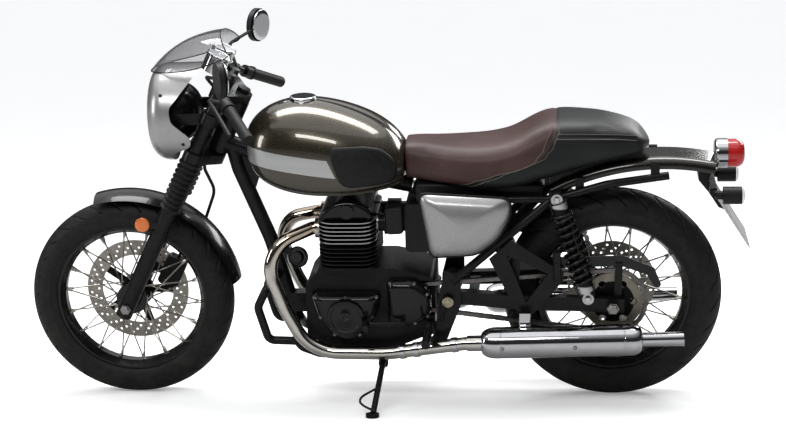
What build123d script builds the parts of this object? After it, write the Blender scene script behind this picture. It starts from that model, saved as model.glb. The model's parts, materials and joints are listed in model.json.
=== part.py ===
from build123d import *
import os
from math import cos, radians, sin

os.makedirs("parts", exist_ok=True)

# A parallel-twin cafe racer motorcycle, in millimetres. It points towards -X, its left side is -Y.
# Every piece is drawn with the machine upright, the ground at Z = 0 and X = 0 midway between the
# axles. At the end the whole machine is leaned over on its side stand.

# Driving dimensions of the running gear
wheelbase = 1475
lean = 9
rake = 26
fork_offset = 55
fork_leg_side = 95
front_tyre_radius = 315
front_section_radius = 50
rear_tyre_radius = 329
rear_section_radius = 65
rim_inner_radius = 211
rim_outer_radius = 233
fit = 0.3

front_axle_point = Vector(-wheelbase / 2, 0, front_tyre_radius)
rear_axle_point = Vector(wheelbase / 2, 0, rear_tyre_radius)

# The steering axis, and a plane whose Z runs up the axis, X to the right and Y forward
axis_direction = Vector(sin(radians(rake)), 0, cos(radians(rake)))
axis_forward = Vector(-cos(radians(rake)), 0, sin(radians(rake)))
axis_point = front_axle_point - axis_forward * fork_offset
fork_plane = Plane(origin=axis_point, x_dir=(0, 1, 0), z_dir=axis_direction)

# The side stand: where it pivots, where its foot stands and how it lies when folded
stand_pivot = Vector(46, -124, 152)
stand_foot_x = 27
stand_foot_y = -318
stand_folded = Vector(0.985, -0.02, 0.17).normalized()
stand_axis_tilt = 20
ground_normal = Vector(0, sin(radians(lean)), cos(radians(lean)))
ground_height = -rear_section_radius * (1 - cos(radians(lean)))
stand_foot_point = Vector(
    stand_foot_x,
    stand_foot_y,
    (ground_height - stand_foot_y * sin(radians(lean))) / cos(radians(lean)),
)
stand_deployed = (stand_foot_point - stand_pivot).normalized()
stand_normal = stand_deployed.cross(stand_folded).normalized()
stand_middle = (stand_deployed + stand_folded).normalized()
stand_axis = (
    stand_normal * cos(radians(stand_axis_tilt)) + stand_middle * sin(radians(stand_axis_tilt))
).normalized()


def side_plane(y):
    """A plane seen from the left, X to the rear and Y up; it extrudes outwards to the left."""
    return Plane(origin=(0, y, 0), x_dir=(1, 0, 0), z_dir=(0, -1, 0))


def cross_plane(x):
    """A plane across the machine: X to the right, Y up."""
    return Plane(origin=(x, 0, 0), x_dir=(0, 1, 0), z_dir=(1, 0, 0))


def wheel_plane(centre, angle=0):
    """A plane through an axle: X along the axle, Y outwards at an angle above the rear."""
    return Plane(
        origin=centre,
        x_dir=(0, 1, 0),
        z_dir=(sin(radians(angle)), 0, -cos(radians(angle))),
    )


def disc_plane(centre, side=0):
    """A plane square to the axle: X to the rear, Y down, extruding to the right."""
    return Plane(origin=centre + Vector(0, side, 0), x_dir=(1, 0, 0), z_dir=(0, 1, 0))


def axle_axis(centre):
    """The axle line, turning upwards from the rear."""
    return Axis(centre, (0, -1, 0))


def along(start, end):
    """A location at start whose Z points to end, and the distance."""
    start = Vector(*start)
    run = Vector(*end) - start
    return Plane(origin=start, z_dir=run).location, run.length


def rod(start, end, radius, mode=Mode.ADD):
    """A straight round bar between two points, joined to the open part."""
    location, length = along(start, end)
    with Locations(location):
        Cylinder(radius, length, align=(Align.CENTER, Align.CENTER, Align.MIN), mode=mode)


def tube(points, radius, bends):
    """A round bar bent along a route of straight runs and arcs, joined to the open part."""
    with BuildLine() as route:
        FilletPolyline(*points, radius=bends)
    with BuildSketch(Plane(origin=route.line @ 0, z_dir=route.line % 0)) as section:
        Circle(radius)
    sweep(section.sketch, path=route.line)


def both_sides(points):
    """The same route on the left and on the right."""
    return [[(x, side * y, z) for x, y, z in points] for side in (-1, 1)]


def on_fork(right, forward, height):
    """A point given in the steering frame."""
    return axis_point + Vector(0, right, 0) + axis_forward * forward + axis_direction * height


pieces = []


def keep(piece, name):
    piece.part.label = name
    pieces.append(piece)


# Wheels: tyre, rim, spokes and hub
tyre_bead_inset = 16
rim_flange = 8
rim_well = 14
spoke_radius = 1.9
spokes_per_side = 9
spoke_turn = 35
spoke_rim_sides = (9, 4)


def make_tyre(centre, radius, section_radius):
    crown = radius - section_radius
    bead = section_radius - tyre_bead_inset
    seat = rim_outer_radius + fit
    shoulder = (crown + seat) / 2
    with BuildPart() as tyre:
        with BuildSketch(wheel_plane(centre)):
            with BuildLine():
                ThreePointArc((-section_radius, crown), (0, radius), (section_radius, crown))
                ThreePointArc(
                    (section_radius, crown), (section_radius - 4, shoulder), (bead, seat)
                )
                Line((bead, seat), (-bead, seat))
                ThreePointArc(
                    (-bead, seat), (4 - section_radius, shoulder), (-section_radius, crown)
                )
            make_face()
        revolve(axis=axle_axis(centre))
    return tyre


def make_rim(centre, section_radius):
    half = section_radius - tyre_bead_inset
    with BuildPart() as rim:
        with BuildSketch(wheel_plane(centre)):
            with BuildLine():
                Polyline(
                    (-half, rim_outer_radius),
                    (half, rim_outer_radius),
                    (half, rim_outer_radius - rim_flange),
                    (rim_well, rim_inner_radius),
                    (-rim_well, rim_inner_radius),
                    (-half, rim_outer_radius - rim_flange),
                    close=True,
                )
            make_face()
        revolve(axis=axle_axis(centre))
    return rim


def make_spokes(centre, flange_radius, flange_middle, flange_half):
    start_radius = flange_radius + spoke_radius + fit
    end_radius = rim_inner_radius - 2 * fit
    with BuildPart() as spokes:
        for kind, turn in enumerate((spoke_turn, -spoke_turn)):
            places = []
            hub_side = flange_middle + (flange_half - 2) * (1, -1)[kind]
            for side in (-1, 1):
                for index in range(spokes_per_side):
                    step = 360 / spokes_per_side
                    angle = radians(index * step + step / 4 * (1 + side) + kind * 9)
                    rim_angle = angle + radians(turn)
                    start = centre + Vector(
                        start_radius * cos(angle), side * hub_side, start_radius * sin(angle)
                    )
                    end = centre + Vector(
                        end_radius * cos(rim_angle),
                        side * spoke_rim_sides[kind],
                        end_radius * sin(rim_angle),
                    )
                    place, length = along(start, end)
                    places.append(place)
            with Locations(places):
                Cylinder(
                    spoke_radius, length, align=(Align.CENTER, Align.CENTER, Align.MIN)
                )
    return spokes


# Front wheel
axle_radius = 10
front_flange_radius = 48
front_flange_middle = 28
front_flange_half = 7
front_hub_half = 66
disc_thickness = 5
front_disc_radius = 160
front_disc_inner = 112
front_disc_side = 58
disc_hole_radius = 4
hub_barrel_radius = 28
carrier_radius = 52

front_tyre = make_tyre(front_axle_point, front_tyre_radius, front_section_radius)
keep(front_tyre, "front_tyre")
front_rim = make_rim(front_axle_point, front_section_radius)
keep(front_rim, "front_rim")
front_spokes = make_spokes(
    front_axle_point, front_flange_radius, front_flange_middle, front_flange_half
)
keep(front_spokes, "front_spokes")

with BuildPart(disc_plane(front_axle_point)) as front_hub:
    Cylinder(hub_barrel_radius, 2 * front_hub_half)
    for side in (-1, 1):
        with Locations((0, 0, side * front_flange_middle)):
            Cylinder(front_flange_radius, 2 * front_flange_half)
    with Locations((0, 0, front_disc_side - 4)):
        Cylinder(carrier_radius, 8)
    Cylinder(axle_radius + fit, 3 * front_hub_half, mode=Mode.SUBTRACT)
keep(front_hub, "front_hub")

with BuildPart() as front_disc:
    with BuildSketch(disc_plane(front_axle_point, front_disc_side)):
        Circle(front_disc_radius)
        Circle(front_disc_inner, mode=Mode.SUBTRACT)
        for ring, turn in ((124, 0), (136, 5), (148, 10)):
            with PolarLocations(ring, 24, start_angle=turn):
                Circle(disc_hole_radius, mode=Mode.SUBTRACT)
        with PolarLocations(0, 5):
            with Locations((front_disc_inner / 2, 0)):
                Rectangle(front_disc_inner + 8, 22)
        Circle(carrier_radius)
        Circle(hub_barrel_radius + fit, mode=Mode.SUBTRACT)
    extrude(amount=disc_thickness)
keep(front_disc, "front_brake_disc")

# Rear wheel
rear_flange_radius = 58
rear_flange_middle = 30
rear_flange_half = 7
rear_hub_half = 92
rear_disc_radius = 135
rear_disc_inner = 90
rear_disc_side = 74
chain_pitch = 15.875
sprocket_teeth = 39
drive_sprocket_teeth = 15
chain_half_height = 9
chain_half_width = 9
chain_side = -85
sprocket_thickness = 7
sprocket_pitch_radius = chain_pitch / (2 * sin(radians(180 / sprocket_teeth)))
drive_pitch_radius = chain_pitch / (2 * sin(radians(180 / drive_sprocket_teeth)))

rear_tyre = make_tyre(rear_axle_point, rear_tyre_radius, rear_section_radius)
keep(rear_tyre, "rear_tyre")
rear_rim = make_rim(rear_axle_point, rear_section_radius)
keep(rear_rim, "rear_rim")
rear_spokes = make_spokes(
    rear_axle_point, rear_flange_radius, rear_flange_middle, rear_flange_half
)
keep(rear_spokes, "rear_spokes")

sprocket_inner_face = chain_side + sprocket_thickness / 2
with BuildPart(disc_plane(rear_axle_point)) as rear_hub:
    Cylinder(hub_barrel_radius, 2 * rear_hub_half)
    for side in (-1, 1):
        with Locations((0, 0, side * rear_flange_middle)):
            Cylinder(rear_flange_radius, 2 * rear_flange_half)
    with Locations((0, 0, rear_disc_side)):
        Cylinder(carrier_radius, 12, align=(Align.CENTER, Align.CENTER, Align.MAX))
    with Locations((0, 0, sprocket_inner_face)):
        Cylinder(carrier_radius, 14, align=(Align.CENTER, Align.CENTER, Align.MIN))
    Cylinder(axle_radius + fit, 3 * rear_hub_half, mode=Mode.SUBTRACT)
keep(rear_hub, "rear_hub")

with BuildPart() as rear_disc:
    with BuildSketch(disc_plane(rear_axle_point, rear_disc_side)):
        Circle(rear_disc_radius)
        Circle(rear_disc_inner, mode=Mode.SUBTRACT)
        for ring, turn in ((102, 0), (112, 6), (123, 12)):
            with PolarLocations(ring, 20, start_angle=turn):
                Circle(disc_hole_radius, mode=Mode.SUBTRACT)
        with PolarLocations(0, 5):
            with Locations((rear_disc_inner / 2, 0)):
                Rectangle(rear_disc_inner + 8, 22)
        Circle(carrier_radius)
        Circle(hub_barrel_radius + fit, mode=Mode.SUBTRACT)
    extrude(amount=disc_thickness)
keep(rear_disc, "rear_brake_disc")

sprocket_edge = sprocket_pitch_radius - chain_half_height - fit
with BuildPart() as rear_sprocket:
    with BuildSketch(disc_plane(rear_axle_point, chain_side)):
        Circle(sprocket_edge)
        with PolarLocations(62, 6):
            Circle(11, mode=Mode.SUBTRACT)
        Circle(hub_barrel_radius + fit, mode=Mode.SUBTRACT)
    extrude(amount=sprocket_thickness / 2, both=True)
keep(rear_sprocket, "rear_sprocket")

# Chassis: swingarm, main frame and what they carry
swingarm_pivot = Vector(247, 0, 346)
pivot_bolt_radius = 10
pivot_tube_radius = 22
pivot_plate_side = 118
pivot_plate_half = 6
pivot_head_side = 132.4
arm_half_height = 21
arm_half_width = 15
arm_rear_side = 112
arm_front_side = 90
arm_end = 34
rear_axle_half = 152
axle_nut_radius = 17
shock_top = Vector(573, 142, 669)
shock_bottom = Vector(664, 142, 360)
shock_pin_radius = 9

arm_run = rear_axle_point - swingarm_pivot
arm_plane = Plane(
    origin=swingarm_pivot, x_dir=arm_run, z_dir=arm_run.cross(Vector(0, 1, 0)).normalized()
)
arm_length = arm_run.length
tab_top = 128
shock_lug = arm_plane.to_local_coords(shock_bottom)
with BuildPart(arm_plane) as swingarm:
    with BuildSketch(arm_plane):
        for side in (-1, 1):
            with BuildLine():
                Polyline(
                    (0, side * (arm_front_side + arm_half_width)),
                    (60, side * (arm_front_side + arm_half_width)),
                    (190, side * (arm_rear_side + arm_half_width)),
                    (arm_length + arm_end, side * (arm_rear_side + arm_half_width)),
                    (arm_length + arm_end, side * (arm_rear_side - arm_half_width)),
                    (190, side * (arm_rear_side - arm_half_width)),
                    (60, side * (arm_front_side - arm_half_width)),
                    (0, side * (arm_front_side - arm_half_width)),
                    close=True,
                )
            make_face()
    extrude(amount=arm_half_height, both=True)
    with Locations((74, 0, 0)):
        Box(30, 2 * arm_front_side, 26)
    with Locations(Location((0, 0, 0), (90, 0, 0))):
        Cylinder(pivot_tube_radius, 2 * (pivot_plate_side - pivot_plate_half) - 2)
        Cylinder(pivot_bolt_radius, 2 * pivot_head_side)
    for side in (-1, 1):
        with Locations(Location((0, side * (pivot_head_side + 5), 0), (90, 0, 0))):
            Cylinder(17, 10)
        # Lug and pin for the shock absorber
        with Locations((shock_lug.X, side * arm_rear_side, shock_lug.Z - 8)):
            Box(40, 2 * arm_half_width, 44)
        with Locations(Location((shock_lug.X, side * (shock_lug.Y - 4), shock_lug.Z), (90, 0, 0))):
            Cylinder(shock_pin_radius, 44)
    # Tabs that carry the chain guard, on the left arm
    for tab_x in (200, 505):
        with Locations((tab_x, -(arm_rear_side - 9), tab_top / 2)):
            Box(22, 6, tab_top)
    # Rear axle with its nuts
    with Locations(Location((arm_length, 0, 0), (90, 0, 0))):
        Cylinder(axle_radius, 2 * rear_axle_half)
        Cylinder(axle_nut_radius, 2 * (arm_rear_side + arm_half_width + 14))
        Cylinder(axle_nut_radius + 1, 2 * (arm_rear_side - arm_half_width), mode=Mode.SUBTRACT)
        Cylinder(axle_radius, 2 * rear_axle_half)
keep(swingarm, "swingarm")

# Frame tubes
head_low = 552
head_high = 720
stem_radius = 20
head_radius = 31
backbone_radius = 25
downtube_radius = 22
cradle_radius = 14
rail_radius = 12
diagonal_radius = 13
cradle_side = 90
rail_side = 100
rail_height = 655

backbone_route = [(-425, 0, 812), (-300, 0, 765), (140, 0, 672)]
downtube_route = [(-405, 0, 815), (-385, 0, 725), (-300, 0, 505), (-228, 0, 238)]
cradle_route = [
    (-234, 10, 262),
    (-218, cradle_side, 186),
    (-150, cradle_side, 160),
    (70, cradle_side, 160),
    (212, 104, 205),
    (236, pivot_plate_side, 346),
]
rail_route = [
    (140, 56, rail_height),
    (260, rail_side, rail_height),
    (565, rail_side, rail_height),
    (720, rail_side, 700),
    (900, 88, 722),
]
diagonal_route = [(258, pivot_plate_side, 400), (420, pivot_plate_side, 540), (560, rail_side, 655)]
cross_tubes = ((150, 60), (300, rail_side), (430, rail_side))
seat_rests = (300, 430)
seat_rest_top = 700
hanger_side = 134
hanger_half = 3.5
peg_arm_x = 200
peg_height = 266
peg_inner_side = 175
tunnel_half = 40
crankcase_half = 105
crankcase_front = -185
mount_front = -245
engine_boss = (188, 262)

with BuildPart() as main_frame:
    location, head_length = along(on_fork(0, 0, head_low), on_fork(0, 0, head_high))
    with Locations(location):
        Cylinder(head_radius, head_length, align=(Align.CENTER, Align.CENTER, Align.MIN))
    tube(backbone_route, backbone_radius, 160)
    tube(downtube_route, downtube_radius, (120, 400))
    for route in both_sides(cradle_route):
        tube(route, cradle_radius, (36, 50, 120, 60))
    for route in both_sides(rail_route):
        tube(route, rail_radius, (120, 200, 200))
    for route in both_sides(diagonal_route):
        tube(route, diagonal_radius, 300)
    for x, side in cross_tubes:
        rod((x, -side, rail_height), (x, side, rail_height), rail_radius)
    # Blocks that the seat rests on
    for x in seat_rests:
        with Locations((x, 0, rail_height)):
            Box(40, 90, seat_rest_top - fit - rail_height, align=(Align.CENTER, Align.CENTER, Align.MIN))
    # Gusset behind the head
    with BuildSketch(side_plane(0)):
        Polygon((-415, 812), (-300, 765), (-345, 640), (-385, 725), align=None)
    extrude(amount=7, both=True)
    # Pivot plates with the rider's footrest arms
    for side in (-1, 1):
        with BuildSketch(side_plane(-side * pivot_plate_side)):
            Polygon((208, 215), (240, 215), (285, 330), (285, 420), (240, 440), (215, 345), align=None)
        extrude(amount=pivot_plate_half, both=True)
        rod((peg_arm_x, side * 112, peg_height), (peg_arm_x, side * peg_inner_side, peg_height), 10)
        rod(
            (engine_boss[0], side * crankcase_half, engine_boss[1]),
            (engine_boss[0], side * (pivot_plate_side + 6), engine_boss[1]),
            10,
        )
        with Locations((engine_boss[0] + 14, side * pivot_plate_side, engine_boss[1])):
            Box(40, 2 * pivot_plate_half, 26)
        # Hanger for the silencer and the pillion footrest
        with BuildSketch(side_plane(-side * hanger_side)):
            Polygon((372, 480), (440, 540), (592, 436), (592, 412), (492, 296), (462, 296), align=None)
            Polygon((424, 492), (546, 434), (480, 342), align=None, mode=Mode.SUBTRACT)
        extrude(amount=hanger_half, both=True)
        rod((400, side * 112, 522), (400, side * hanger_side, 505), 9)
        rod((477, side * (hanger_side - 2), 306), (477, side * 160, 306), 8)
        # Shock absorber pin
        rod((shock_top.X, side * 90, shock_top.Z), (shock_top.X, side * 158, shock_top.Z), 9)
        with Locations((shock_top.X - 6, side * rail_side, shock_top.Z - 6)):
            Box(36, 20, 34)
        # Pads for the rear fender, with flat faces towards it
        for x, z, height in ((640, 695, 44), (860, 740, 50)):
            with Locations((x, side * 84, z)):
                Box(26, 18, height)
        # Tank rubbers beside the backbone
        rod((-250, side * 10, 752), (-250, side * (tunnel_half - fit), 752), 14)
    # Engine mount on the downtube
    with Locations(((crankcase_front + mount_front) / 2, 0, 300)):
        Box(crankcase_front - mount_front, 44, 60)
    # Side stand bracket and pin on the left cradle tube
    bracket_plane = Plane(
        origin=stand_pivot, x_dir=stand_axis.cross(Vector(1, 0, 0)), z_dir=stand_axis
    )
    with BuildSketch(bracket_plane.offset(-9 - fit - 8)):
        with Locations((14, 0)):
            RectangleRounded(64, 30, 12)
    extrude(amount=8)
    rod(stand_pivot - stand_axis * 12, stand_pivot + stand_axis * 13, 6)
    rod(stand_pivot + stand_axis * (9 + fit), stand_pivot + stand_axis * 14, 8.5)
    # Bores last
    rod(on_fork(0, 0, head_low - 20), on_fork(0, 0, head_high + 20), stem_radius + fit, Mode.SUBTRACT)
    rod(
        swingarm_pivot - Vector(0, 200, 0),
        swingarm_pivot + Vector(0, 200, 0),
        pivot_bolt_radius + fit,
        Mode.SUBTRACT,
    )
    with Locations((swingarm_pivot.X, 0, swingarm_pivot.Z)):
        Box(
            2 * pivot_tube_radius + 8,
            2 * (pivot_plate_side - pivot_plate_half),
            2 * arm_half_height + 14,
            mode=Mode.SUBTRACT,
        )
keep(main_frame, "main_frame")

# Engine
crank_bottom = 188
case_top = 440
case_rear = 205
drive_shaft = (160, 345)
pocket_radius = 56
cover_depth = 62
with BuildPart() as crankcase:
    with BuildSketch(side_plane(0)):
        with BuildLine():
            FilletPolyline(
                (crankcase_front, 225),
                (-120, crank_bottom),
                (90, crank_bottom),
                (case_rear, 235),
                (case_rear, 410),
                (80, case_top),
                (-140, case_top),
                (crankcase_front, 385),
                radius=22,
                close=True,
            )
        make_face()
    extrude(amount=crankcase_half, both=True)
    # Recess that the chain runs into, open to the left and to the rear
    with BuildSketch(side_plane(-70)):
        with Locations(drive_shaft):
            Circle(pocket_radius)
        with Locations((drive_shaft[0] + 60, drive_shaft[1])):
            Rectangle(120, 2 * pocket_radius)
    extrude(amount=60, mode=Mode.SUBTRACT)
    drive_edge = drive_pitch_radius - chain_half_height - fit
    rod((drive_shaft[0], -68, drive_shaft[1]), (drive_shaft[0], -98, drive_shaft[1]), drive_edge)
keep(crankcase, "crankcase")

fin_front = -137
fin_rear = 36
fin_half = 150
fin_corner = 48
fin_thickness = 3.4
fin_pitch = 12.5
core_front = -112
core_rear = 14
core_half = 122
barrel_base = case_top
barrel_top = 528
head_top = 604
port_side = 80
port_height = 562
intake_side = 60
intake_height = 572
port_radius = 31
fin_middle = (fin_front + fin_rear) / 2
core_middle = (core_front + core_rear) / 2


def finned_block(low, high, fins, first):
    """A block with level cooling fins around it, joined to the open part."""
    with Locations((core_middle, 0, low)):
        Box(
            core_rear - core_front,
            2 * core_half,
            high - low,
            align=(Align.CENTER, Align.CENTER, Align.MIN),
        )
    with BuildSketch(Plane.XY) as outline:
        with Locations((fin_middle, 0)):
            RectangleRounded(fin_rear - fin_front, 2 * fin_half, fin_corner)
    for index in range(fins):
        level = low + first + index * fin_pitch
        extrude(outline.sketch.moved(Location((0, 0, level))), amount=fin_thickness)


with BuildPart() as cylinder_block:
    finned_block(barrel_base, barrel_top, 6, 12)
keep(cylinder_block, "cylinder_block")

with BuildPart() as cylinder_head:
    finned_block(barrel_top, head_top, 6, 4)
    for side in (-1, 1):
        port_line = (side * port_side, port_height)
        rod((core_front + 20, *port_line), (fin_front - 3, *port_line), port_radius)
        intake_line = (side * intake_side, intake_height)
        rod((core_rear - 20, *intake_line), (fin_rear + 4, *intake_line), port_radius)
keep(cylinder_head, "cylinder_head")

cam_top = 656
with BuildPart() as cam_cover:
    with BuildSketch(side_plane(-core_half)):
        with BuildLine():
            Line((core_front - 8, head_top), (core_rear + 8, head_top))
            Line((core_rear + 8, head_top), (core_rear + 8, head_top + 22))
            ThreePointArc(
                (core_rear + 8, head_top + 22),
                (core_middle, cam_top),
                (core_front - 8, head_top + 22),
            )
            Line((core_front - 8, head_top + 22), (core_front - 8, head_top))
        make_face()
    extrude(amount=-2 * core_half)
    fillet(cam_cover.faces().sort_by(Axis.Y)[0].edges().group_by(Axis.Z)[-1], 14)
    fillet(cam_cover.faces().sort_by(Axis.Y)[-1].edges().group_by(Axis.Z)[-1], 14)
    for side in (-1, 1):
        rod((core_middle, side * (core_half - 4), 626), (core_middle, side * (core_half + 12), 626), 21)
keep(cam_cover, "cam_cover")

crank_shaft = (-60, 304)
sprocket_cover_depth = 34
with BuildPart() as left_cover:
    with BuildSketch(side_plane(-crankcase_half)):
        with BuildLine():
            FilletPolyline(
                (-172, 372),
                (48, 372),
                (32, 292),
                (-14, 232),
                (-60, 214),
                (-106, 232),
                (-152, 292),
                radius=30,
                close=True,
            )
        make_face()
    extrude(amount=cover_depth - 14)
    fillet(left_cover.faces().sort_by(Axis.Y)[0].edges(), 8)
    disc_start = (crank_shaft[0], -crankcase_half - 40, crank_shaft[1])
    disc_end = (crank_shaft[0], -crankcase_half - cover_depth, crank_shaft[1])
    rod(disc_start, disc_end, 56)
    fillet(left_cover.faces().sort_by(Axis.Y)[0].edges(), 5)
    # Cover over the drive sprocket
    with BuildSketch(side_plane(-crankcase_half)):
        with BuildLine():
            FilletPolyline(
                (62, 412), (150, 412), (196, 372), (196, 290), (150, 262), (62, 262), radius=30, close=True
            )
        make_face()
    extrude(amount=sprocket_cover_depth, taper=9)
keep(left_cover, "left_engine_covers")

clutch_shaft = (60, 322)
with BuildPart() as right_cover:
    with BuildSketch(side_plane(crankcase_half)):
        with BuildLine():
            FilletPolyline(
                (-160, 372),
                (150, 392),
                (166, 262),
                (96, 210),
                (-96, 210),
                (-150, 270),
                radius=30,
                close=True,
            )
        make_face()
    extrude(amount=-(cover_depth - 16))
    fillet(right_cover.faces().sort_by(Axis.Y)[-1].edges(), 12)
    disc_start = (clutch_shaft[0], crankcase_half + 40, clutch_shaft[1])
    disc_end = (clutch_shaft[0], crankcase_half + cover_depth, clutch_shaft[1])
    rod(disc_start, disc_end, 72)
    fillet(right_cover.faces().sort_by(Axis.Y)[-1].edges(), 8)
keep(right_cover, "right_engine_cover")

with BuildPart() as throttle_bodies:
    for side in (-1, 1):
        rod((fin_rear + 4, side * intake_side, intake_height), (120, side * intake_side, intake_height), 27)
        rod((58, side * intake_side, intake_height), (98, side * intake_side, intake_height), 36)
keep(throttle_bodies, "throttle_bodies")

airbox_front = 120
airbox_rear = 330
airbox_half = 85
with BuildPart() as airbox:
    with Locations(((airbox_front + airbox_rear) / 2, 0, 560)):
        Box(airbox_rear - airbox_front, 2 * airbox_half, 150)
    fillet(airbox.edges().filter_by(Axis.Y), 16)
keep(airbox, "airbox")

# Exhaust
pipe_radius = 20
silencer_radius = 47
silencer_side = 190
tail_pipe_radius = 21.5
silencer_front = Vector(345, -silencer_side, 234)
silencer_end = Vector(945, -silencer_side, 250)
silencer_length = (silencer_end - silencer_front).length
silencer_run = (silencer_end - silencer_front).normalized()
joint_run = 46
joint_start = silencer_front - silencer_run * joint_run
pipe_route = [
    (fin_front - 3, -port_side, port_height),
    (fin_front - 20, -port_side, port_height),
    (-256, -124, 530),
    (-290, -146, 450),
    (-246, -150, 330),
    (-192, -152, 225),
    (-120, -154, 188),
    (64, -158, 188),
    (joint_start.X, joint_start.Y, joint_start.Z),
    (silencer_front.X, silencer_front.Y, silencer_front.Z),
]
pipe_bends = (30, 100, 100, 300, 130, 150, 200, 120)
with BuildPart() as exhaust_headers:
    for sign, route in zip((1, -1), both_sides(pipe_route)):
        tube(route, pipe_radius, pipe_bends)
        port_line = (sign * port_side, port_height)
        rod((fin_front - 3, *port_line), (fin_front - 12, *port_line), 30)
        joint_end = Vector(silencer_front.X, sign * silencer_side, silencer_front.Z)
        rod(joint_end - silencer_run * 40, joint_end, 24)
keep(exhaust_headers, "exhaust_headers")

with BuildPart() as silencers:
    for sign in (-1, 1):
        start = Vector(silencer_front.X, sign * silencer_side, silencer_front.Z)
        profile_plane = Plane(origin=start, x_dir=silencer_run, z_dir=(0, 1, 0))
        with BuildSketch(profile_plane):
            with BuildLine():
                Polyline(
                    (0, 0),
                    (0, 24),
                    (12, 27),
                    (42, silencer_radius - 4),
                    (52, silencer_radius),
                    (440, silencer_radius),
                    (462, silencer_radius - 7),
                    (476, tail_pipe_radius + 5),
                    (478, tail_pipe_radius),
                    (silencer_length, tail_pipe_radius),
                    (silencer_length, 0),
                    close=True,
                )
            make_face()
        revolve(axis=Axis(start, silencer_run))
        end = start + silencer_run * silencer_length
        rod(end - silencer_run * 90, end + silencer_run, tail_pipe_radius - 2.5, Mode.SUBTRACT)
        with Locations((477, sign * 167.5, 292)):
            Box(34, 15, 60)
keep(silencers, "silencers")

# Fuel tank: sections from the front, seen from behind
# columns: x, half width, bottom, height of the widest line, top
tank_sections = [
    (-345, 70, 768, 806, 862),
    (-285, 128, 712, 780, 918),
    (-180, 158, 684, 774, 942),
    (-50, 166, 682, 772, 916),
    (60, 138, 692, 764, 862),
    (122, 96, 704, 752, 792),
]
cap_x = -181
cap_radius = 40
cap_low = 930
cap_high = 950
tunnel_rise = 30
pad_thickness = 7


def tank_body(grow):
    """The tank without its openings, swollen sideways by a thickness."""
    with BuildPart() as body:
        for x, half, low, mid, top in tank_sections:
            wide = half + grow
            shoulder = (wide * 0.8, mid + (top - mid) * 0.66)
            floor_half = wide * 0.86
            with BuildSketch(cross_plane(x)):
                with BuildLine():
                    Line((-floor_half, low), (floor_half, low))
                    ThreePointArc((floor_half, low), (wide * 0.975, (low + mid) / 2), (wide, mid))
                    ThreePointArc((wide, mid), shoulder, (0, top))
                    ThreePointArc((0, top), (-shoulder[0], shoulder[1]), (-wide, mid))
                    ThreePointArc((-wide, mid), (-wide * 0.975, (low + mid) / 2), (-floor_half, low))
                make_face()
        loft()
    return body


tank_shape = tank_body(0).part
with BuildPart() as fuel_tank:
    add(tank_shape)
    # Tunnel over the backbone
    with BuildSketch(side_plane(0)):
        Polygon(
            (-420, 640),
            (-420, 812 + tunnel_rise),
            (-300, 765 + tunnel_rise),
            (160, 668 + tunnel_rise),
            (160, 640),
            align=None,
        )
    extrude(amount=tunnel_half, both=True, mode=Mode.SUBTRACT)
    rod((cap_x, 0, cap_low), (cap_x, 0, 1000), cap_radius + fit, Mode.SUBTRACT)
keep(fuel_tank, "fuel_tank")

with BuildPart() as filler_cap:
    rod((cap_x, 0, cap_low), (cap_x, 0, cap_high), cap_radius)
    fillet(filler_cap.faces().sort_by(Axis.Z)[-1].edges(), 6)
keep(filler_cap, "filler_cap")

with BuildPart() as knee_pads:
    for side in (-1, 1):
        with BuildSketch(side_plane(side * 50)):
            with BuildLine():
                FilletPolyline(
                    (-96, 836), (60, 822), (112, 768), (104, 714), (-38, 706), radius=24, close=True
                )
            make_face()
        extrude(amount=-side * 150)
    add(tank_body(pad_thickness).part, mode=Mode.INTERSECT)
    add(tank_shape, mode=Mode.SUBTRACT)
keep(knee_pads, "knee_pads")

# Seat: columns: x, half width, bottom, top
seat_sections = [
    (130, 72, 708, 816),
    (285, 128, 692, 808),
    (420, 142, 684, 822),
    (545, 138, 712, 880),
    (660, 128, 746, 884),
    (780, 104, 774, 862),
    (846, 70, 784, 822),
]
seat_corner = 18
with BuildPart() as seat:
    for x, half, low, top in seat_sections:
        with BuildSketch(cross_plane(x)):
            with Locations((0, (low + top) / 2)):
                RectangleRounded(2 * half, top - low, seat_corner)
    loft(ruled=True)
    for x in seat_rests:
        with Locations((x, 0, seat_rest_top)):
            Box(50, 100, 60, align=(Align.CENTER, Align.CENTER, Align.MAX), mode=Mode.SUBTRACT)
keep(seat, "seat")

# Side covers
cover_inner_side = 150
cover_outer_side = 176
with BuildPart() as side_covers:
    for side in (-1, 1):
        with BuildSketch(side_plane(side * cover_inner_side)):
            with BuildLine():
                FilletPolyline(
                    (168, 690), (436, 674), (438, 622), (398, 545), (334, 500), (200, 492), radius=24, close=True
                )
            make_face()
        extrude(amount=-side * (cover_outer_side - cover_inner_side))
        fillet(side_covers.faces().sort_by(Axis.Y)[0 if side < 0 else -1].edges(), 16)
    for x, z in ((240, 610), (300, 540)):
        for side in (-1, 1):
            rod((x, side * airbox_half, z), (x, side * (cover_inner_side + 2), z), 8)
keep(side_covers, "side_covers")

# Rear end
fender_half = 75
fender_wall = 3
fender_skirt = 62
fender_arc = [(548, 684), (800, 764), (1040, 752)]
with BuildPart() as rear_fender:
    with BuildLine(side_plane(0)) as crest:
        ThreePointArc(*fender_arc)
    with BuildSketch(Plane(origin=crest.line @ 0, x_dir=(0, 1, 0), z_dir=crest.line % 0)):
        with Locations((0, -fender_skirt / 2)):
            RectangleRounded(2 * fender_half, fender_skirt, 26)
        with Locations((0, -fender_skirt / 2 - fender_wall)):
            RectangleRounded(2 * (fender_half - fender_wall), fender_skirt, 24, mode=Mode.SUBTRACT)
        with Locations((0, -fender_skirt)):
            Rectangle(3 * fender_half, 60, mode=Mode.SUBTRACT)
    sweep()
    add(main_frame.part, mode=Mode.SUBTRACT)
keep(rear_fender, "rear_fender")

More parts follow.
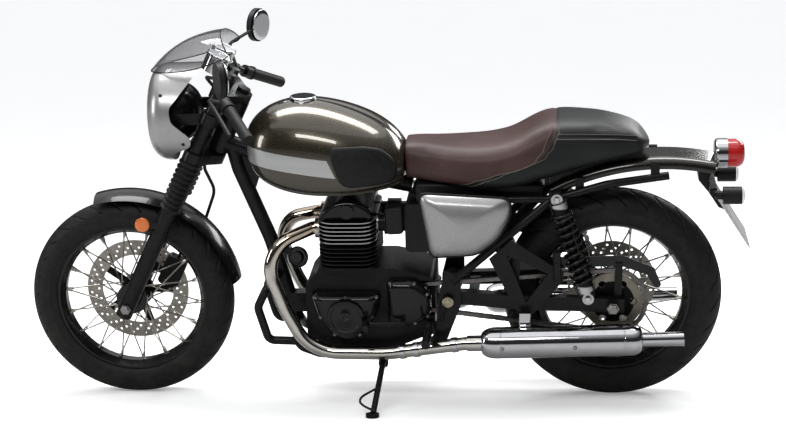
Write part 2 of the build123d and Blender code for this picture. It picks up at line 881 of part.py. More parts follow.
lamp_x = 1052
lamp_height = 764
lamp_radius = 44
with BuildPart() as tail_lamp_housing:
    rod((lamp_x - 16, 0, lamp_height), (lamp_x + 22, 0, lamp_height), lamp_radius)
    fillet(tail_lamp_housing.faces().sort_by(Axis.X)[0].edges(), 12)
    add(rear_fender.part, mode=Mode.SUBTRACT)
keep(tail_lamp_housing, "tail_lamp_housing")

with BuildPart() as tail_lamp_lens:
    rod((lamp_x + 22, 0, lamp_height), (lamp_x + 72, 0, lamp_height), lamp_radius - 2)
    fillet(tail_lamp_lens.faces().sort_by(Axis.X)[-1].edges(), 26)
keep(tail_lamp_lens, "tail_lamp_lens")

plate_top = Vector(1040, 0, 656)
plate_low = Vector(1139, 0, 498)
plate_half = 95
plate_run = (plate_low - plate_top).normalized()
plate_normal = plate_run.cross(Vector(0, 1, 0))
plate_sheet = 1.5
grip_high = plate_top - plate_normal * plate_sheet + plate_run * 6
grip_low = plate_top - plate_normal * plate_sheet + plate_run * 70
with BuildPart() as plate_bracket:
    with BuildSketch(side_plane(0)):
        Polygon(
            (985, 748),
            (1036, 748),
            (1020, 690),
            (1030, 660),
            (grip_high.X, grip_high.Z),
            (grip_low.X, grip_low.Z),
            (1050, 606),
            (1018, 655),
            (990, 690),
            align=None,
        )
    extrude(amount=34, both=True)
    with Locations((1030, 0, 672)):
        Box(22, 170, 18)
    add(rear_fender.part, mode=Mode.SUBTRACT)
    add(tail_lamp_housing.part, mode=Mode.SUBTRACT)
keep(plate_bracket, "plate_bracket")

with BuildPart() as number_plate:
    with BuildSketch(Plane(origin=(plate_top + plate_low) * 0.5, x_dir=(0, 1, 0), z_dir=plate_normal)):
        RectangleRounded(2 * plate_half, (plate_low - plate_top).length, 8)
    extrude(amount=plate_sheet, both=True)
keep(number_plate, "number_plate")

with BuildPart() as rear_indicators:
    for side in (-1, 1):
        rod((1056, side * 112, 668), (1110, side * 112, 668), 26)
        rod((1034, side * 112, 670), (1058, side * 112, 668), 13)
        rod((1034, side * 85, 671), (1034, side * 112, 671), 7)
keep(rear_indicators, "rear_indicators")

# Chain: a closed run round both sprockets
drive_point = Vector(drive_shaft[0], 0, drive_shaft[1])
chain_run = rear_axle_point - drive_point
chain_plane = Plane(
    origin=drive_point + Vector(0, chain_side, 0), x_dir=chain_run, z_dir=(0, -1, 0)
)

with BuildPart() as chain:
    for grow, mode in ((chain_half_height, Mode.ADD), (-chain_half_height, Mode.SUBTRACT)):
        with BuildSketch(chain_plane):
            Circle(drive_pitch_radius + grow)
            with Locations((chain_run.length, 0)):
                Circle(sprocket_pitch_radius + grow)
            make_hull()
        extrude(amount=chain_half_width, both=True, mode=mode)
keep(chain, "drive_chain")

with BuildPart() as chain_guard:
    with BuildSketch(side_plane(-97)):
        with BuildLine():
            FilletPolyline(
                (430, 470),
                (770, 478),
                (860, 440),
                (884, 380),
                (862, 376),
                (838, 418),
                (760, 446),
                (430, 432),
                radius=10,
                close=True,
            )
        make_face()
    extrude(amount=3)
keep(chain_guard, "chain_guard")

# Shock absorbers
shock_run = shock_bottom - shock_top
shock_length = shock_run.length
shock_eye_half = 13
with BuildPart() as shock_absorbers:
    for side in (-1, 1):
        top = Vector(shock_top.X, side * shock_top.Y, shock_top.Z)
        low = Vector(shock_bottom.X, side * shock_bottom.Y, shock_bottom.Z)
        run = (low - top).normalized()
        rod(top + run * 14, low - run * 14, 15)
        rod(top + run * 12, top + run * 44, 27)
        rod(low - run * 52, low - run * 24, 27)
        for eye in (top, low):
            rod(eye - Vector(0, shock_eye_half, 0), eye + Vector(0, shock_eye_half, 0), 17)
        rod(top - Vector(0, 20, 0), top + Vector(0, 20, 0), shock_pin_radius + fit, Mode.SUBTRACT)
        rod(low - Vector(0, 20, 0), low + Vector(0, 20, 0), shock_pin_radius + fit, Mode.SUBTRACT)
keep(shock_absorbers, "shock_absorbers")

coil_count = 11
coil_radius = 4.5
coil_mean = 29
with BuildPart() as shock_springs:
    for side in (-1, 1):
        top = Vector(shock_top.X, side * shock_top.Y, shock_top.Z)
        low = Vector(shock_bottom.X, side * shock_bottom.Y, shock_bottom.Z)
        run = (low - top).normalized()
        first = 44
        last = shock_length - 52
        with BuildSketch(Plane(origin=top, x_dir=run, z_dir=(0, 1, 0))):
            with Locations(((first + last) / 2, (15 + fit + coil_mean) / 2)):
                Rectangle(last - first, coil_mean - 15 - fit)
            for index in range(coil_count):
                place = first + coil_radius + (last - first - 2 * coil_radius) * index / (coil_count - 1)
                with Locations((place, coil_mean)):
                    Circle(coil_radius)
        revolve(axis=Axis(top, run))
keep(shock_springs, "shock_springs")

# Footrests and pedals
with BuildPart() as foot_controls:
    for side in (-1, 1):
        peg_x = peg_arm_x - 12
        rod((peg_x, side * peg_inner_side, peg_height), (peg_x, side * 288, peg_height), 13)
        rod((574, side * (hanger_side + hanger_half), 424), (574, side * 168, 424), 10)
        rod((574, side * 166, 424), (572, side * 178, 520), 12)
    # Gear lever on the left
    rod((110, -(crankcase_half + sprocket_cover_depth), 285), (110, -168, 285), 8)
    rod((110, -162, 285), (4, -172, 288), 7)
    rod((4, -168, 288), (4, -214, 288), 10)
    # Brake pedal on the right
    rod((226, pivot_plate_side + pivot_plate_half, 240), (226, 146, 240), 9)
    tube([(226, 138, 240), (150, 171, 246), (20, 184, 262)], 7, 40)
    rod((22, 176, 262), (22, 222, 262), 11)
keep(foot_controls, "foot_controls")

# Engine guard in front of the crankcase
guard_radius = 13
guard_route = [
    (-272, 12, 398),
    (-306, 96, 372),
    (-335, 98, 312),
    (-306, 98, 206),
    (-222, cradle_side, 200),
]
with BuildPart() as engine_guard:
    for route in both_sides(guard_route):
        tube(route, guard_radius, (26, 30, 26))
    add(main_frame.part, mode=Mode.SUBTRACT)
keep(engine_guard, "engine_guard")

# Rear brake caliper, on the right arm
with BuildPart() as rear_caliper:
    with Locations((640, 78.5, 402)):
        Box(76, 34, 62)
    fillet(rear_caliper.edges().filter_by(Axis.Y), 14)
    with Locations((640, rear_disc_side + disc_thickness / 2, 402)):
        Box(120, disc_thickness + 6, 90, mode=Mode.SUBTRACT)
    with Locations((624, 92, 366)):
        Box(34, 10, 40)
    with Locations((630, 78.5, 440)):
        Box(30, 34, 14)
    add(swingarm.part, mode=Mode.SUBTRACT)
keep(rear_caliper, "rear_caliper")

# Steering: clamps, fork, front fender and brake
clamp_boss = 30
clamp_levels = ((515, 545), (725, 750))
fork_tube_radius = 20.5
fork_tube_top = 752
slider_radius = 25
slider_low = -34
slider_top = 342
gaiter_top = 513
gaiter_radius = 33
gaiter_neck = 26
gaiter_ribs = 10
leg_sides = (-fork_leg_side, fork_leg_side)

with BuildPart(fork_plane) as triple_clamps:
    for low, high in clamp_levels:
        with BuildSketch(fork_plane.offset(low)):
            with Locations((-fork_leg_side, fork_offset), (fork_leg_side, fork_offset), (0, 0)):
                Circle(clamp_boss)
            make_hull()
        extrude(amount=high - low)
    stem_low = clamp_levels[0][0]
    with Locations((0, 0, stem_low)):
        Cylinder(
            stem_radius,
            clamp_levels[1][1] + 12 - stem_low,
            align=(Align.CENTER, Align.CENTER, Align.MIN),
        )
    with Locations((-fork_leg_side, fork_offset, stem_low), (fork_leg_side, fork_offset, stem_low)):
        Cylinder(fork_tube_radius + fit, 800, mode=Mode.SUBTRACT)
keep(triple_clamps, "triple_clamps")

with BuildPart() as fork_tubes:
    for side in leg_sides:
        tube_foot = on_fork(side, fork_offset, slider_top)
        rod(tube_foot, on_fork(side, fork_offset, fork_tube_top), fork_tube_radius)
keep(fork_tubes, "fork_tubes")

front_axle_half = 128
caliper_middle = (62.5, -22, 104)
caliper_size = (42, 66, 96)
with BuildPart() as fork_sliders:
    for side in leg_sides:
        rod(on_fork(side, fork_offset, slider_low), on_fork(side, fork_offset, slider_top), slider_radius)
    with BuildSketch(fork_plane.offset(caliper_middle[2] - 30)):
        with Locations((78, fork_offset - 30)):
            Rectangle(14, 2 * (fork_offset - 30 - caliper_middle[1] - caliper_size[1] / 2))
    extrude(amount=60)
    # Axle through both legs
    half_axle = Vector(0, front_axle_half, 0)
    rod(front_axle_point - half_axle, front_axle_point + half_axle, axle_radius)
keep(fork_sliders, "fork_sliders")

with BuildPart() as fork_gaiters:
    rib_step = (gaiter_top - slider_top - fit) / gaiter_ribs
    for side in leg_sides:
        foot = on_fork(side, fork_offset, slider_top + fit)
        with BuildSketch(Plane(origin=foot, x_dir=(0, 1, 0), z_dir=-axis_forward)):
            with BuildLine():
                outline = [(fork_tube_radius + fit, 0), (gaiter_neck, 0)]
                for rib in range(gaiter_ribs):
                    outline += [
                        (gaiter_radius, rib_step * (rib + 0.35)),
                        (gaiter_radius, rib_step * (rib + 0.6)),
                        (gaiter_neck, rib_step * (rib + 1)),
                    ]
                outline += [(fork_tube_radius + fit, rib_step * gaiter_ribs)]
                Polyline(*outline, close=True)
            make_face()
        revolve(axis=Axis(foot, axis_direction))
keep(fork_gaiters, "fork_gaiters")

fender_top = 345
fender_edge = 327
fender_side = 63
fender_sheet = 3
fender_start = 10
fender_sweep = 96
with BuildPart() as front_fender:
    with BuildSketch(wheel_plane(front_axle_point, fender_start)):
        with BuildLine():
            ThreePointArc((-fender_side, fender_edge), (0, fender_top), (fender_side, fender_edge))
            Line((fender_side, fender_edge), (fender_side - fender_sheet, fender_edge - 1))
            ThreePointArc(
                (fender_side - fender_sheet, fender_edge - 1),
                (0, fender_top - fender_sheet),
                (fender_sheet - fender_side, fender_edge - 1),
            )
            Line((fender_sheet - fender_side, fender_edge - 1), (-fender_side, fender_edge))
        make_face()
    revolve(axis=axle_axis(front_axle_point), revolution_arc=fender_sweep)
    for side in (-1, 1):
        with BuildSketch(fork_plane.offset(308)):
            with Locations((side * 68, fork_offset)):
                Rectangle(14, 36)
        extrude(amount=26)
    add(fork_sliders.part, mode=Mode.SUBTRACT)
keep(front_fender, "front_fender")

with BuildPart(fork_plane) as front_caliper:
    with Locations(caliper_middle):
        Box(*caliper_size)
    fillet(front_caliper.edges().filter_by(Axis.Y), 14)
    with Locations((front_disc_side + disc_thickness / 2, fork_offset, 0)):
        with Locations(Location((0, 0, 0), (0, 90, 0))):
            Cylinder(front_disc_radius + 4, disc_thickness + 6, mode=Mode.SUBTRACT)
keep(front_caliper, "front_caliper")

# Headlamp, cowl and screen
lamp_axis_height = 906
lamp_face = -612
lamp_pin_x = -582
lamp_rim_radius = 93
shell_rear = -484
lamp_line = Axis((0, 0, lamp_axis_height), (1, 0, 0))
with BuildPart() as headlamp_shell:
    with BuildSketch(Plane(origin=(0, 0, lamp_axis_height), x_dir=(1, 0, 0), z_dir=(0, -1, 0))):
        with BuildLine():
            Polyline(
                (shell_rear, 0),
                (lamp_face, 0),
                (lamp_face, lamp_rim_radius),
                (lamp_face + 42, lamp_rim_radius),
            )
            ThreePointArc((lamp_face + 42, lamp_rim_radius), (lamp_face + 94, 74), (shell_rear, 30))
            Line((shell_rear, 30), (shell_rear, 0))
        make_face()
    revolve(axis=lamp_line)
keep(headlamp_shell, "headlamp_shell")

lens_radius = 86
lens_bulge = 14
with BuildPart() as headlamp_lens:
    rod((lamp_face - lens_bulge, 0, lamp_axis_height), (lamp_face, 0, lamp_axis_height), lens_radius)
    fillet(headlamp_lens.faces().sort_by(Axis.X)[0].edges(), lens_bulge - 2)
keep(headlamp_lens, "headlamp_lens")

bracket_side = 97
with BuildPart() as headlamp_brackets:
    for side in (-1, 1):
        grip_low = on_fork(side * fork_leg_side, fork_offset, 640)
        grip_high = on_fork(side * fork_leg_side, fork_offset, 676)
        rod(grip_low, grip_high, fork_tube_radius + 8)
        with Locations((-522, side * bracket_side, lamp_axis_height)):
            Box(136, 7, 34)
        pin_start = (lamp_pin_x, side * (lamp_rim_radius + fit), lamp_axis_height)
        rod(pin_start, (lamp_pin_x, side * 140.5, lamp_axis_height), 8)
        bore_foot = on_fork(side * fork_leg_side, fork_offset, 600)
        bore_head = on_fork(side * fork_leg_side, fork_offset, 720)
        rod(bore_foot, bore_head, fork_tube_radius + fit, Mode.SUBTRACT)
keep(headlamp_brackets, "headlamp_brackets")

cowl_wall = 4
cowl_nose = -634
cowl_hole = 95
cowl_radius = 148
cowl_rear = -455
with BuildPart() as cowl:
    with BuildSketch(Plane(origin=(0, 0, lamp_axis_height), x_dir=(1, 0, 0), z_dir=(0, -1, 0))):
        with BuildLine():
            ThreePointArc((cowl_nose, cowl_hole), (-619, 130), (-580, cowl_radius - 2))
            Line((-580, cowl_radius - 2), (cowl_rear, cowl_radius))
            Line((cowl_rear, cowl_radius), (cowl_rear, cowl_radius - cowl_wall))
            Line((cowl_rear, cowl_radius - cowl_wall), (-579, cowl_radius - cowl_wall - 2))
            ThreePointArc((-579, cowl_radius - cowl_wall - 2), (-615.5, 127.5), (cowl_nose + 4, cowl_hole))
            Line((cowl_nose + 4, cowl_hole), (cowl_nose, cowl_hole))
        make_face()
    revolve(axis=lamp_line)
    with BuildSketch(side_plane(0)):
        with BuildLine():
            FilletPolyline(
                (-380, 1080),
                (-468, 1060),
                (-561, 948),
                (-556, 908),
                (-480, 838),
                (-564, 800),
                (-574, 740),
                (-380, 740),
                radius=28,
                close=True,
            )
        make_face()
    extrude(amount=300, both=True, mode=Mode.SUBTRACT)
keep(cowl, "cowl")

screen_base = Vector(-542, 0, 924)
screen_slope = 27.6
screen_radius = 140
screen_sheet = 3
screen_length = 218
screen_lead = 24
screen_run = Vector(cos(radians(screen_slope)), 0, sin(radians(screen_slope)))
with BuildPart() as screen:
    screen_start = screen_base - screen_run * screen_lead
    with BuildSketch(Plane(origin=screen_start, x_dir=(0, 1, 0), z_dir=screen_run)):
        Circle(screen_radius)
        Circle(screen_radius - screen_sheet, mode=Mode.SUBTRACT)
    extrude(amount=screen_length + screen_lead)
    with BuildSketch(side_plane(0)):
        Polygon(
            (-760, 700),
            (-760, 1010),
            (-600, 1036),
            (-470, 1062),
            (-371, 1100),
            (-250, 1130),
            (-250, 700),
            align=None,
        )
    extrude(amount=300, both=True, mode=Mode.SUBTRACT)
    with BuildSketch(Plane(origin=(0, 0, lamp_axis_height), x_dir=(1, 0, 0), z_dir=(0, -1, 0))):
        with BuildLine():
            Polyline(
                (-580, cowl_radius - 2 + fit),
                (cowl_rear + 1, cowl_radius + fit),
                (cowl_rear + 1, 0),
                (-700, 0),
                (-700, cowl_hole),
            )
            Line((-700, cowl_hole), (cowl_nose - fit, cowl_hole))
            ThreePointArc((cowl_nose - fit, cowl_hole), (-619.2, 130.3), (-580, cowl_radius - 2 + fit))
        make_face()
    revolve(axis=lamp_line, mode=Mode.SUBTRACT)
keep(screen, "windscreen")

# Handlebar and what it carries
bar_radius = 11
bar_centre = (-393, 0, 1018)
bar_knee = (-424, 126, 1013)
grip_inner = (-369, 215, 968)
grip_outer = (-298, 330, 910)
bar_route = [
    (grip_outer[0], -grip_outer[1], grip_outer[2]),
    (bar_knee[0], -bar_knee[1], bar_knee[2]),
    (bar_centre[0], -48, bar_centre[2]),
    (bar_centre[0], 48, bar_centre[2]),
    bar_knee,
    grip_outer,
]
riser_side = 34
with BuildPart() as handlebar:
    tube(bar_route, bar_radius, (46, 40, 40, 46))
    for side in (-riser_side, riser_side):
        rod(on_fork(side, 52, clamp_levels[1][1]), on_fork(side, 52, clamp_levels[1][1] + 44), 17)
keep(handlebar, "handlebar")

with BuildPart() as grips:
    for side in (-1, 1):
        inner = Vector(grip_inner[0], side * grip_inner[1], grip_inner[2])
        outer = Vector(grip_outer[0], side * grip_outer[1], grip_outer[2])
        run = (outer - inner).normalized()
        rod(inner, outer + run * 6, 17)
        rod(inner - run * 4, inner + run * 6, 21)
    add(handlebar.part, mode=Mode.SUBTRACT)
keep(grips, "grips")

with BuildPart() as levers:
    for side in (-1, 1):
        inner = Vector(grip_inner[0], side * grip_inner[1], grip_inner[2])
        outer = Vector(grip_outer[0], side * grip_outer[1], grip_outer[2])
        run = (outer - inner).normalized()
        perch = inner - run * 34
        rod(perch, perch + run * 28, 19)
        reach = Vector(-46, 0, 8)
        rod(perch + run * 14, perch + run * 10 + reach, 10)
        tube(
            [perch + run * 8 + reach, inner + run * 30 + reach, outer + reach * 1.1],
            6.5,
            60,
        )
    add(handlebar.part, mode=Mode.SUBTRACT)
keep(levers, "levers")

mirror_radius = 52
mirror_depth = 16
mirror_centre = (-357, 352, 1088)
stalk_route = [(-398, 150, 992), (-432, 205, 1062), (-372, 318, 1082)]
with BuildPart() as mirrors:
    for side in (-1, 1):
        route = [(x, side * y, z) for x, y, z in stalk_route]
        tube(route, 5, 34)
        inner = Vector(grip_inner[0], side * grip_inner[1], grip_inner[2])
        outer = Vector(grip_outer[0], side * grip_outer[1], grip_outer[2])
        run = (outer - inner).normalized()
        rod(inner - run * 88, inner - run * 70, 16)
        facing = Vector(0.92, side * -0.38, 0).normalized()
        centre = Vector(mirror_centre[0], side * mirror_centre[1], mirror_centre[2])
        rod(centre - facing * mirror_depth, centre, mirror_radius)
        rod((-372, side * 318, 1082), centre - facing * 8, 7)
    add(handlebar.part, mode=Mode.SUBTRACT)
keep(mirrors, "mirrors")

pod_radius = 36
pod_side = 48
pod_low = (-440, 1040)
pod_run = Vector(0.45, 0, 0.893)
pod_depth = 54
with BuildPart() as instruments:
    for side in (-1, 1):
        low = Vector(pod_low[0], side * pod_side, pod_low[1])
        rod(low, low + pod_run * pod_depth, pod_radius)
        rod(on_fork(side * 26, 78, clamp_levels[1][1]), low + pod_run * 6, 7)
    rod((pod_low[0] + 10, -pod_side, pod_low[1] + 18), (pod_low[0] + 10, pod_side, pod_low[1] + 18), 10)
    add(triple_clamps.part, mode=Mode.SUBTRACT)
keep(instruments, "instruments")

# Brake hose from the lower clamp to the front caliper
hose_radius = 5
hose_route = [
    on_fork(40, 20, clamp_levels[0][0]),
    on_fork(40, 20, 466),
    on_fork(74, -40, 400),
    on_fork(74, -52, 270),
    on_fork(caliper_middle[0], caliper_middle[1], 200),
    on_fork(caliper_middle[0], caliper_middle[1], caliper_middle[2] + caliper_size[2] / 2),
]
with BuildPart() as brake_hose:
    tube(hose_route, hose_radius, (40, 60, 90, 50))
keep(brake_hose, "brake_hose")

# Side stand
stand_eye_radius = 13
stand_eye_half = 9
leg_radius = 9
foot_radius = 20
foot_thickness = 11
with BuildPart() as side_stand:
    eye_half = stand_axis * stand_eye_half
    rod(stand_pivot - eye_half, stand_pivot + eye_half, stand_eye_radius)
    rod(stand_pivot + stand_deployed * 12, stand_foot_point - stand_deployed * 14, leg_radius)
    with BuildSketch(Plane(origin=stand_foot_point, x_dir=(1, 0, 0), z_dir=ground_normal)):
        Circle(foot_radius)
    extrude(amount=foot_thickness)
    rod(stand_pivot - stand_axis * 40, stand_pivot + stand_axis * 40, 6 + fit, Mode.SUBTRACT)
keep(side_stand, "side_stand")

# Lean the machine over on its stand, with the ground at Z = 0 and the middle of its box at the origin
leaned = Location((0, 0, 0), (lean, 0, 0))
box = Compound(children=[leaned * piece.part for piece in pieces]).bounding_box()
placement = Location((-box.center().X, -box.center().Y, -box.min.Z)) * leaned
for piece in pieces:
    placed = placement * piece.part
    placed.label = piece.part.label
    export_step(placed, f"parts/{placed.label}.step")
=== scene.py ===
import bmesh
import bpy
import json
import numpy as np
from mathutils import Matrix, Vector
from mathutils.bvhtree import BVHTree


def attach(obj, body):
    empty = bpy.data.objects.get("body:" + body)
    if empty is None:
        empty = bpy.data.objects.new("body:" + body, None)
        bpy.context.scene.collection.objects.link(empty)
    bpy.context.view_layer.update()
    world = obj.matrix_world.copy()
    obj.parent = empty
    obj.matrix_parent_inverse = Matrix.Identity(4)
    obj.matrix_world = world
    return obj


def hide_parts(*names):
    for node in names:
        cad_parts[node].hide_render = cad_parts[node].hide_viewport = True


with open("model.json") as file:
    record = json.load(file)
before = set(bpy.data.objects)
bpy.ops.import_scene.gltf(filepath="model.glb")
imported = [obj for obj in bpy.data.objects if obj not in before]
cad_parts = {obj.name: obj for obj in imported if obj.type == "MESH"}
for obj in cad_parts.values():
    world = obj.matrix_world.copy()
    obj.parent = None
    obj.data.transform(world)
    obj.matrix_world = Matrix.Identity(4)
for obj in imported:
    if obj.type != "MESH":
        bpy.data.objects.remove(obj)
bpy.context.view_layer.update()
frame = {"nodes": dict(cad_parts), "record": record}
nodes = frame["nodes"]
print("frame loaded,", len(nodes), "nodes")

# the machine leans on its stand; pieces are worked out upright, in mm, and leaned at the end
leanAngle = np.radians(9.0)
leanCos, leanSin = np.cos(leanAngle), np.sin(leanAngle)
leanShift = np.array([-0.0438855, 0.1635927, 0.0008003])
uprightMove = (0.0438855, -0.161704, 0.024801)
fullTurn, quarterTurn = 2 * np.pi, np.pi / 2
origin, upAxis = (0, 0, 0), (0, 0, 1)
bothSides = (("left", -1), ("right", 1))


# leaned point: y cos 9 - z sin 9 and y sin 9 + z cos 9, in metres, plus the shift to the frame's origin
def leaned(points):
    p = np.asarray(points, float) / 1000
    y, z = p[..., 1], p[..., 2]
    return np.stack([p[..., 0], y * leanCos - z * leanSin, y * leanSin + z * leanCos], -1) + leanShift


# direction turned back upright: y cos 9 + z sin 9 and z cos 9 - y sin 9
def raised(direction):
    x, y, z = np.moveaxis(np.asarray(direction, float), -1, 0)
    return np.stack([x, y * leanCos + z * leanSin, z * leanCos - y * leanSin], -1)


def unit(v):
    v = np.asarray(v, float)
    return v / np.linalg.norm(v, axis=-1, keepdims=True)


# point of the left or right half: y times the side
def sided(point, side):
    return np.array(point, float) * (1, side, 1)


# flat direction: cos and sin of the angle
def heading(angle):
    return np.stack([np.cos(angle), np.sin(angle)], -1)


def circle(steps):
    return heading(np.linspace(0, fullTurn, steps, endpoint=False))


# share, 0 to 1, of the ease by which a is past b
def beyond(a, b, ease):
    return np.clip((a - b) / ease, 0, 1)


# quads of a grid: each joins a point with the next in its row and the two below, wrapped where closed
def gridFaces(rows, columns, closeRows=False, closeColumns=False):
    r, c = np.meshgrid(np.arange(rows - (not closeRows)), np.arange(columns - (not closeColumns)), indexing="ij")
    r2, c2 = (r + 1) % rows, (c + 1) % columns
    return np.stack([r * columns + c, r * columns + c2, r2 * columns + c2, r2 * columns + c], -1).reshape(-1, 4)


# tube of rings: the quads between rings, then one flat face over each end
def cappedFaces(rings, steps):
    end = np.arange(steps)[None]
    return [gridFaces(rings, steps, closeColumns=True), end, end + (rings - 1) * steps]


def ringFaces(rings, steps):
    return [face for group in cappedFaces(rings, steps) for face in group.tolist()]


# sheet of two layers laid side by side in each row: the quads round it and a strip of quads over each end
def sheetFaces(rows, columns):
    j = np.arange(columns - 1)
    strip = np.stack([j, j + 1, 2 * columns - 2 - j, 2 * columns - 1 - j], -1)
    return np.concatenate([gridFaces(rows, 2 * columns, closeColumns=True), strip, strip + 2 * columns * (rows - 1)])


# curve through points: each span blends its four neighbours with the Catmull-Rom cubic
def smoothPath(points, steps=12):
    p = np.asarray(points, float)
    q = np.concatenate([2 * p[:1] - p[1:2], p, 2 * p[-1:] - p[-2:-1]])
    t = np.linspace(0, 1, steps, endpoint=False)[:, None, None]
    a, b, c, d = q[:-3], q[1:-2], q[2:-1], q[3:]
    span = 0.5 * (2 * b + (c - a) * t + (2 * a - 5 * b + 4 * c - d) * t**2 + (3 * b - a - 3 * c + d) * t**3)
    return np.concatenate([span.transpose(1, 0, 2).reshape(-1, p.shape[1]), p[-1:]])


# distance run along a path at each of its points
def runLength(path):
    return np.insert(np.cumsum(np.linalg.norm(np.diff(path, axis=0), axis=1)), 0, 0)


# points of a path at the given distances along it
def atDistance(path, distance):
    return np.stack([np.interp(distance, runLength(path), column) for column in path.T], -1)


# profile carried along a path: path point + profile u along (tangent x across) + profile v along across'
def carried(path, profile, across, closed=False):
    path, profile = np.asarray(path, float), np.asarray(profile, float)
    tangent = unit(np.roll(path, -1, 0) - np.roll(path, 1, 0) if closed else np.gradient(path, axis=0))
    side = unit(np.cross(tangent, across))
    up = np.cross(side, tangent)
    return path[:, None] + profile[None, :, :1] * side[:, None] + profile[None, :, 1:] * up[:, None]


# surface of revolution: centre + length along the axis + radius times (cos, sin) on two square directions
def turned(profile, centre, axis, steps):
    axis = unit(axis)
    side = unit(np.cross(axis, (0.31, 0.22, 0.93)))
    ring = circle(steps) @ np.stack([side, np.cross(axis, side)])
    profile = np.asarray(profile, float)
    return np.asarray(centre, float) + profile[:, 1, None, None] * axis + profile[:, 0, None, None] * ring


# a round wire or rod: circle of the radius carried along the path
def wire(path, radius, across, sides=10):
    return carried(path, radius * circle(sides), across)


# copies: the shape's points turned by each frame and set at each place, with the faces counted on
def copies(points, faces, places, frames):
    places = np.asarray(places, float)
    spread = places[:, None] + np.einsum("ni,mij->mnj", points, frames)
    count = (np.arange(len(places)) * len(points))[:, None, None]
    shifted = [(np.asarray(f)[None] + count).reshape(-1, np.shape(f)[1]).tolist() for f in faces]
    return spread.reshape(-1, 3), [face for group in shifted for face in group]


# several shapes as one: points end to end, faces counted on
def joined(shapes):
    starts = np.insert(np.cumsum([len(p) for p, f in shapes]), 0, 0).tolist()
    faces = [[i + start for i in face] for (p, f), start in zip(shapes, starts) for face in f]
    return np.concatenate([p for p, f in shapes]), faces


# closed outline with rounded corners: each corner is a quadratic curve between points set back on its edges
def roundedOutline(corners, setback, steps=8):
    p = np.asarray(corners, float)
    a = p + unit(np.roll(p, 1, 0) - p) * setback
    b = p + unit(np.roll(p, -1, 0) - p) * setback
    t = np.linspace(0, 1, steps)[:, None, None]
    return ((1 - t) ** 2 * a + 2 * t * (1 - t) * p + t**2 * b).transpose(1, 0, 2).reshape(-1, p.shape[1])


# frames whose third row is the given axis
def framesAlong(axes, hint=(0.13, 0.17, 0.97)):
    axes = unit(axes)
    side = unit(np.cross(np.broadcast_to(hint, axes.shape), axes))
    return np.stack([side, np.cross(axes, side), axes], 1)


surfaces = {}
farSide = 700


# place and outward direction, upright in mm, where a line from one side at x and z first meets a node or piece
def touch(node, x, z, side):
    if node not in surfaces:
        met = nodes.get(node) or bpy.data.objects[node]
        surfaces[node] = BVHTree.FromObject(met, bpy.context.evaluated_depsgraph_get())
    start = Vector(leaned((x, side * farSide, z)))
    hit = surfaces[node].ray_cast(start, Vector((0, -side * leanCos, -side * leanSin)))
    if hit[3] is None:
        raise ValueError(f"{node} isn't met at x {x}, z {z}")
    outward = raised(hit[1])
    return np.array([x, side * (farSide - hit[3] * 1000), z]), outward * (1 if outward[1] * side > 0 else -1)


# mesh of upright points, leaned, with its faces turned outwards
def leanedMesh(name, points, faces):
    mesh = bpy.data.meshes.new(name)
    flat = leaned(np.asarray(points, float).reshape(-1, 3))
    mesh.from_pydata(flat.tolist(), [], faces if isinstance(faces, list) else faces.tolist())
    shape = bmesh.new()
    shape.from_mesh(mesh)
    bmesh.ops.recalc_face_normals(shape, faces=shape.faces)
    shape.to_mesh(mesh)
    shape.free()
    return mesh


sharpAngle = np.radians(38)


def makePiece(name, points, faces, look, body="chassis", slot=None, smooth=True, uv=None, stand=()):
    mesh = leanedMesh(name, points, faces)
    if uv is not None:
        layer = mesh.uv_layers.new(name="UVMap")
        index = np.zeros(len(mesh.loops), np.int32)
        mesh.loops.foreach_get("vertex_index", index)
        layer.data.foreach_set("uv", np.asarray(uv, float).reshape(-1, 2)[index].ravel())
    mesh.polygons.foreach_set("use_smooth", np.full(len(mesh.polygons), smooth))
    piece = bpy.data.objects.new(name, mesh)
    bpy.context.scene.collection.objects.link(piece)
    mesh.materials.append(looks[look])
    if smooth:
        mesh.set_sharp_from_angle(angle=sharpAngle)
    slot = slot or slotOf[look]
    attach(piece, body)
    if stand:
        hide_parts(*stand)
    return piece


# rings of points as a piece closed over both ends
def tube(name, rings, look, body="chassis", **more):
    return makePiece(name, rings, ringFaces(*rings.shape[:2]), look, body, **more)


# rings of points as a piece closed on itself
def hoop(name, rings, look, body="chassis", **more):
    return makePiece(name, rings, gridFaces(*rings.shape[:2], True, True), look, body, **more)


# two layers of points as a sheet with a wall
def sheet(name, outer, inner, look, body="chassis", **more):
    points = np.concatenate([outer, inner[:, ::-1]], 1)
    return makePiece(name, points, sheetFaces(*outer.shape[:2]), look, body, **more)


# profile of radius and length turned about an axis, as a piece
def spun(name, profile, centre, axis, steps, look, body="chassis", **more):
    return tube(name, turned(profile, centre, axis, steps), look, body, **more)


# profile turned once and copied to each place, standing along each axis, as one piece
def scattered(name, profile, steps, places, frames, look, body="chassis", **more):
    form = turned(profile, origin, upAxis, steps).reshape(-1, 3)
    points, faces = copies(form, cappedFaces(len(profile), steps), places, frames)
    return makePiece(name, points, faces, look, body, **more)


# shader nodes
def setSockets(tree, node, values):
    for key, value in values.items():
        if isinstance(value, bpy.types.NodeSocket):
            tree.links.new(value, node.inputs[key])
        else:
            node.inputs[key].default_value = value


def put(tree, kind, sockets=None, **settings):
    node = tree.nodes.new("ShaderNode" + kind)
    for key, value in settings.items():
        setattr(node, key, value)
    setSockets(tree, node, sockets or {})
    return node


# node group with one number in and the named numbers out
def newGroup(name, label, value, *outputs):
    tree = bpy.data.node_groups.new(name, "ShaderNodeTree")
    tree.interface.new_socket(label, in_out="INPUT", socket_type="NodeSocketFloat").default_value = value
    for output in outputs:
        tree.interface.new_socket(output, in_out="OUTPUT", socket_type="NodeSocketFloat")
    return tree, tree.nodes.new("NodeGroupInput").outputs[0], tree.nodes.new("NodeGroupOutput")


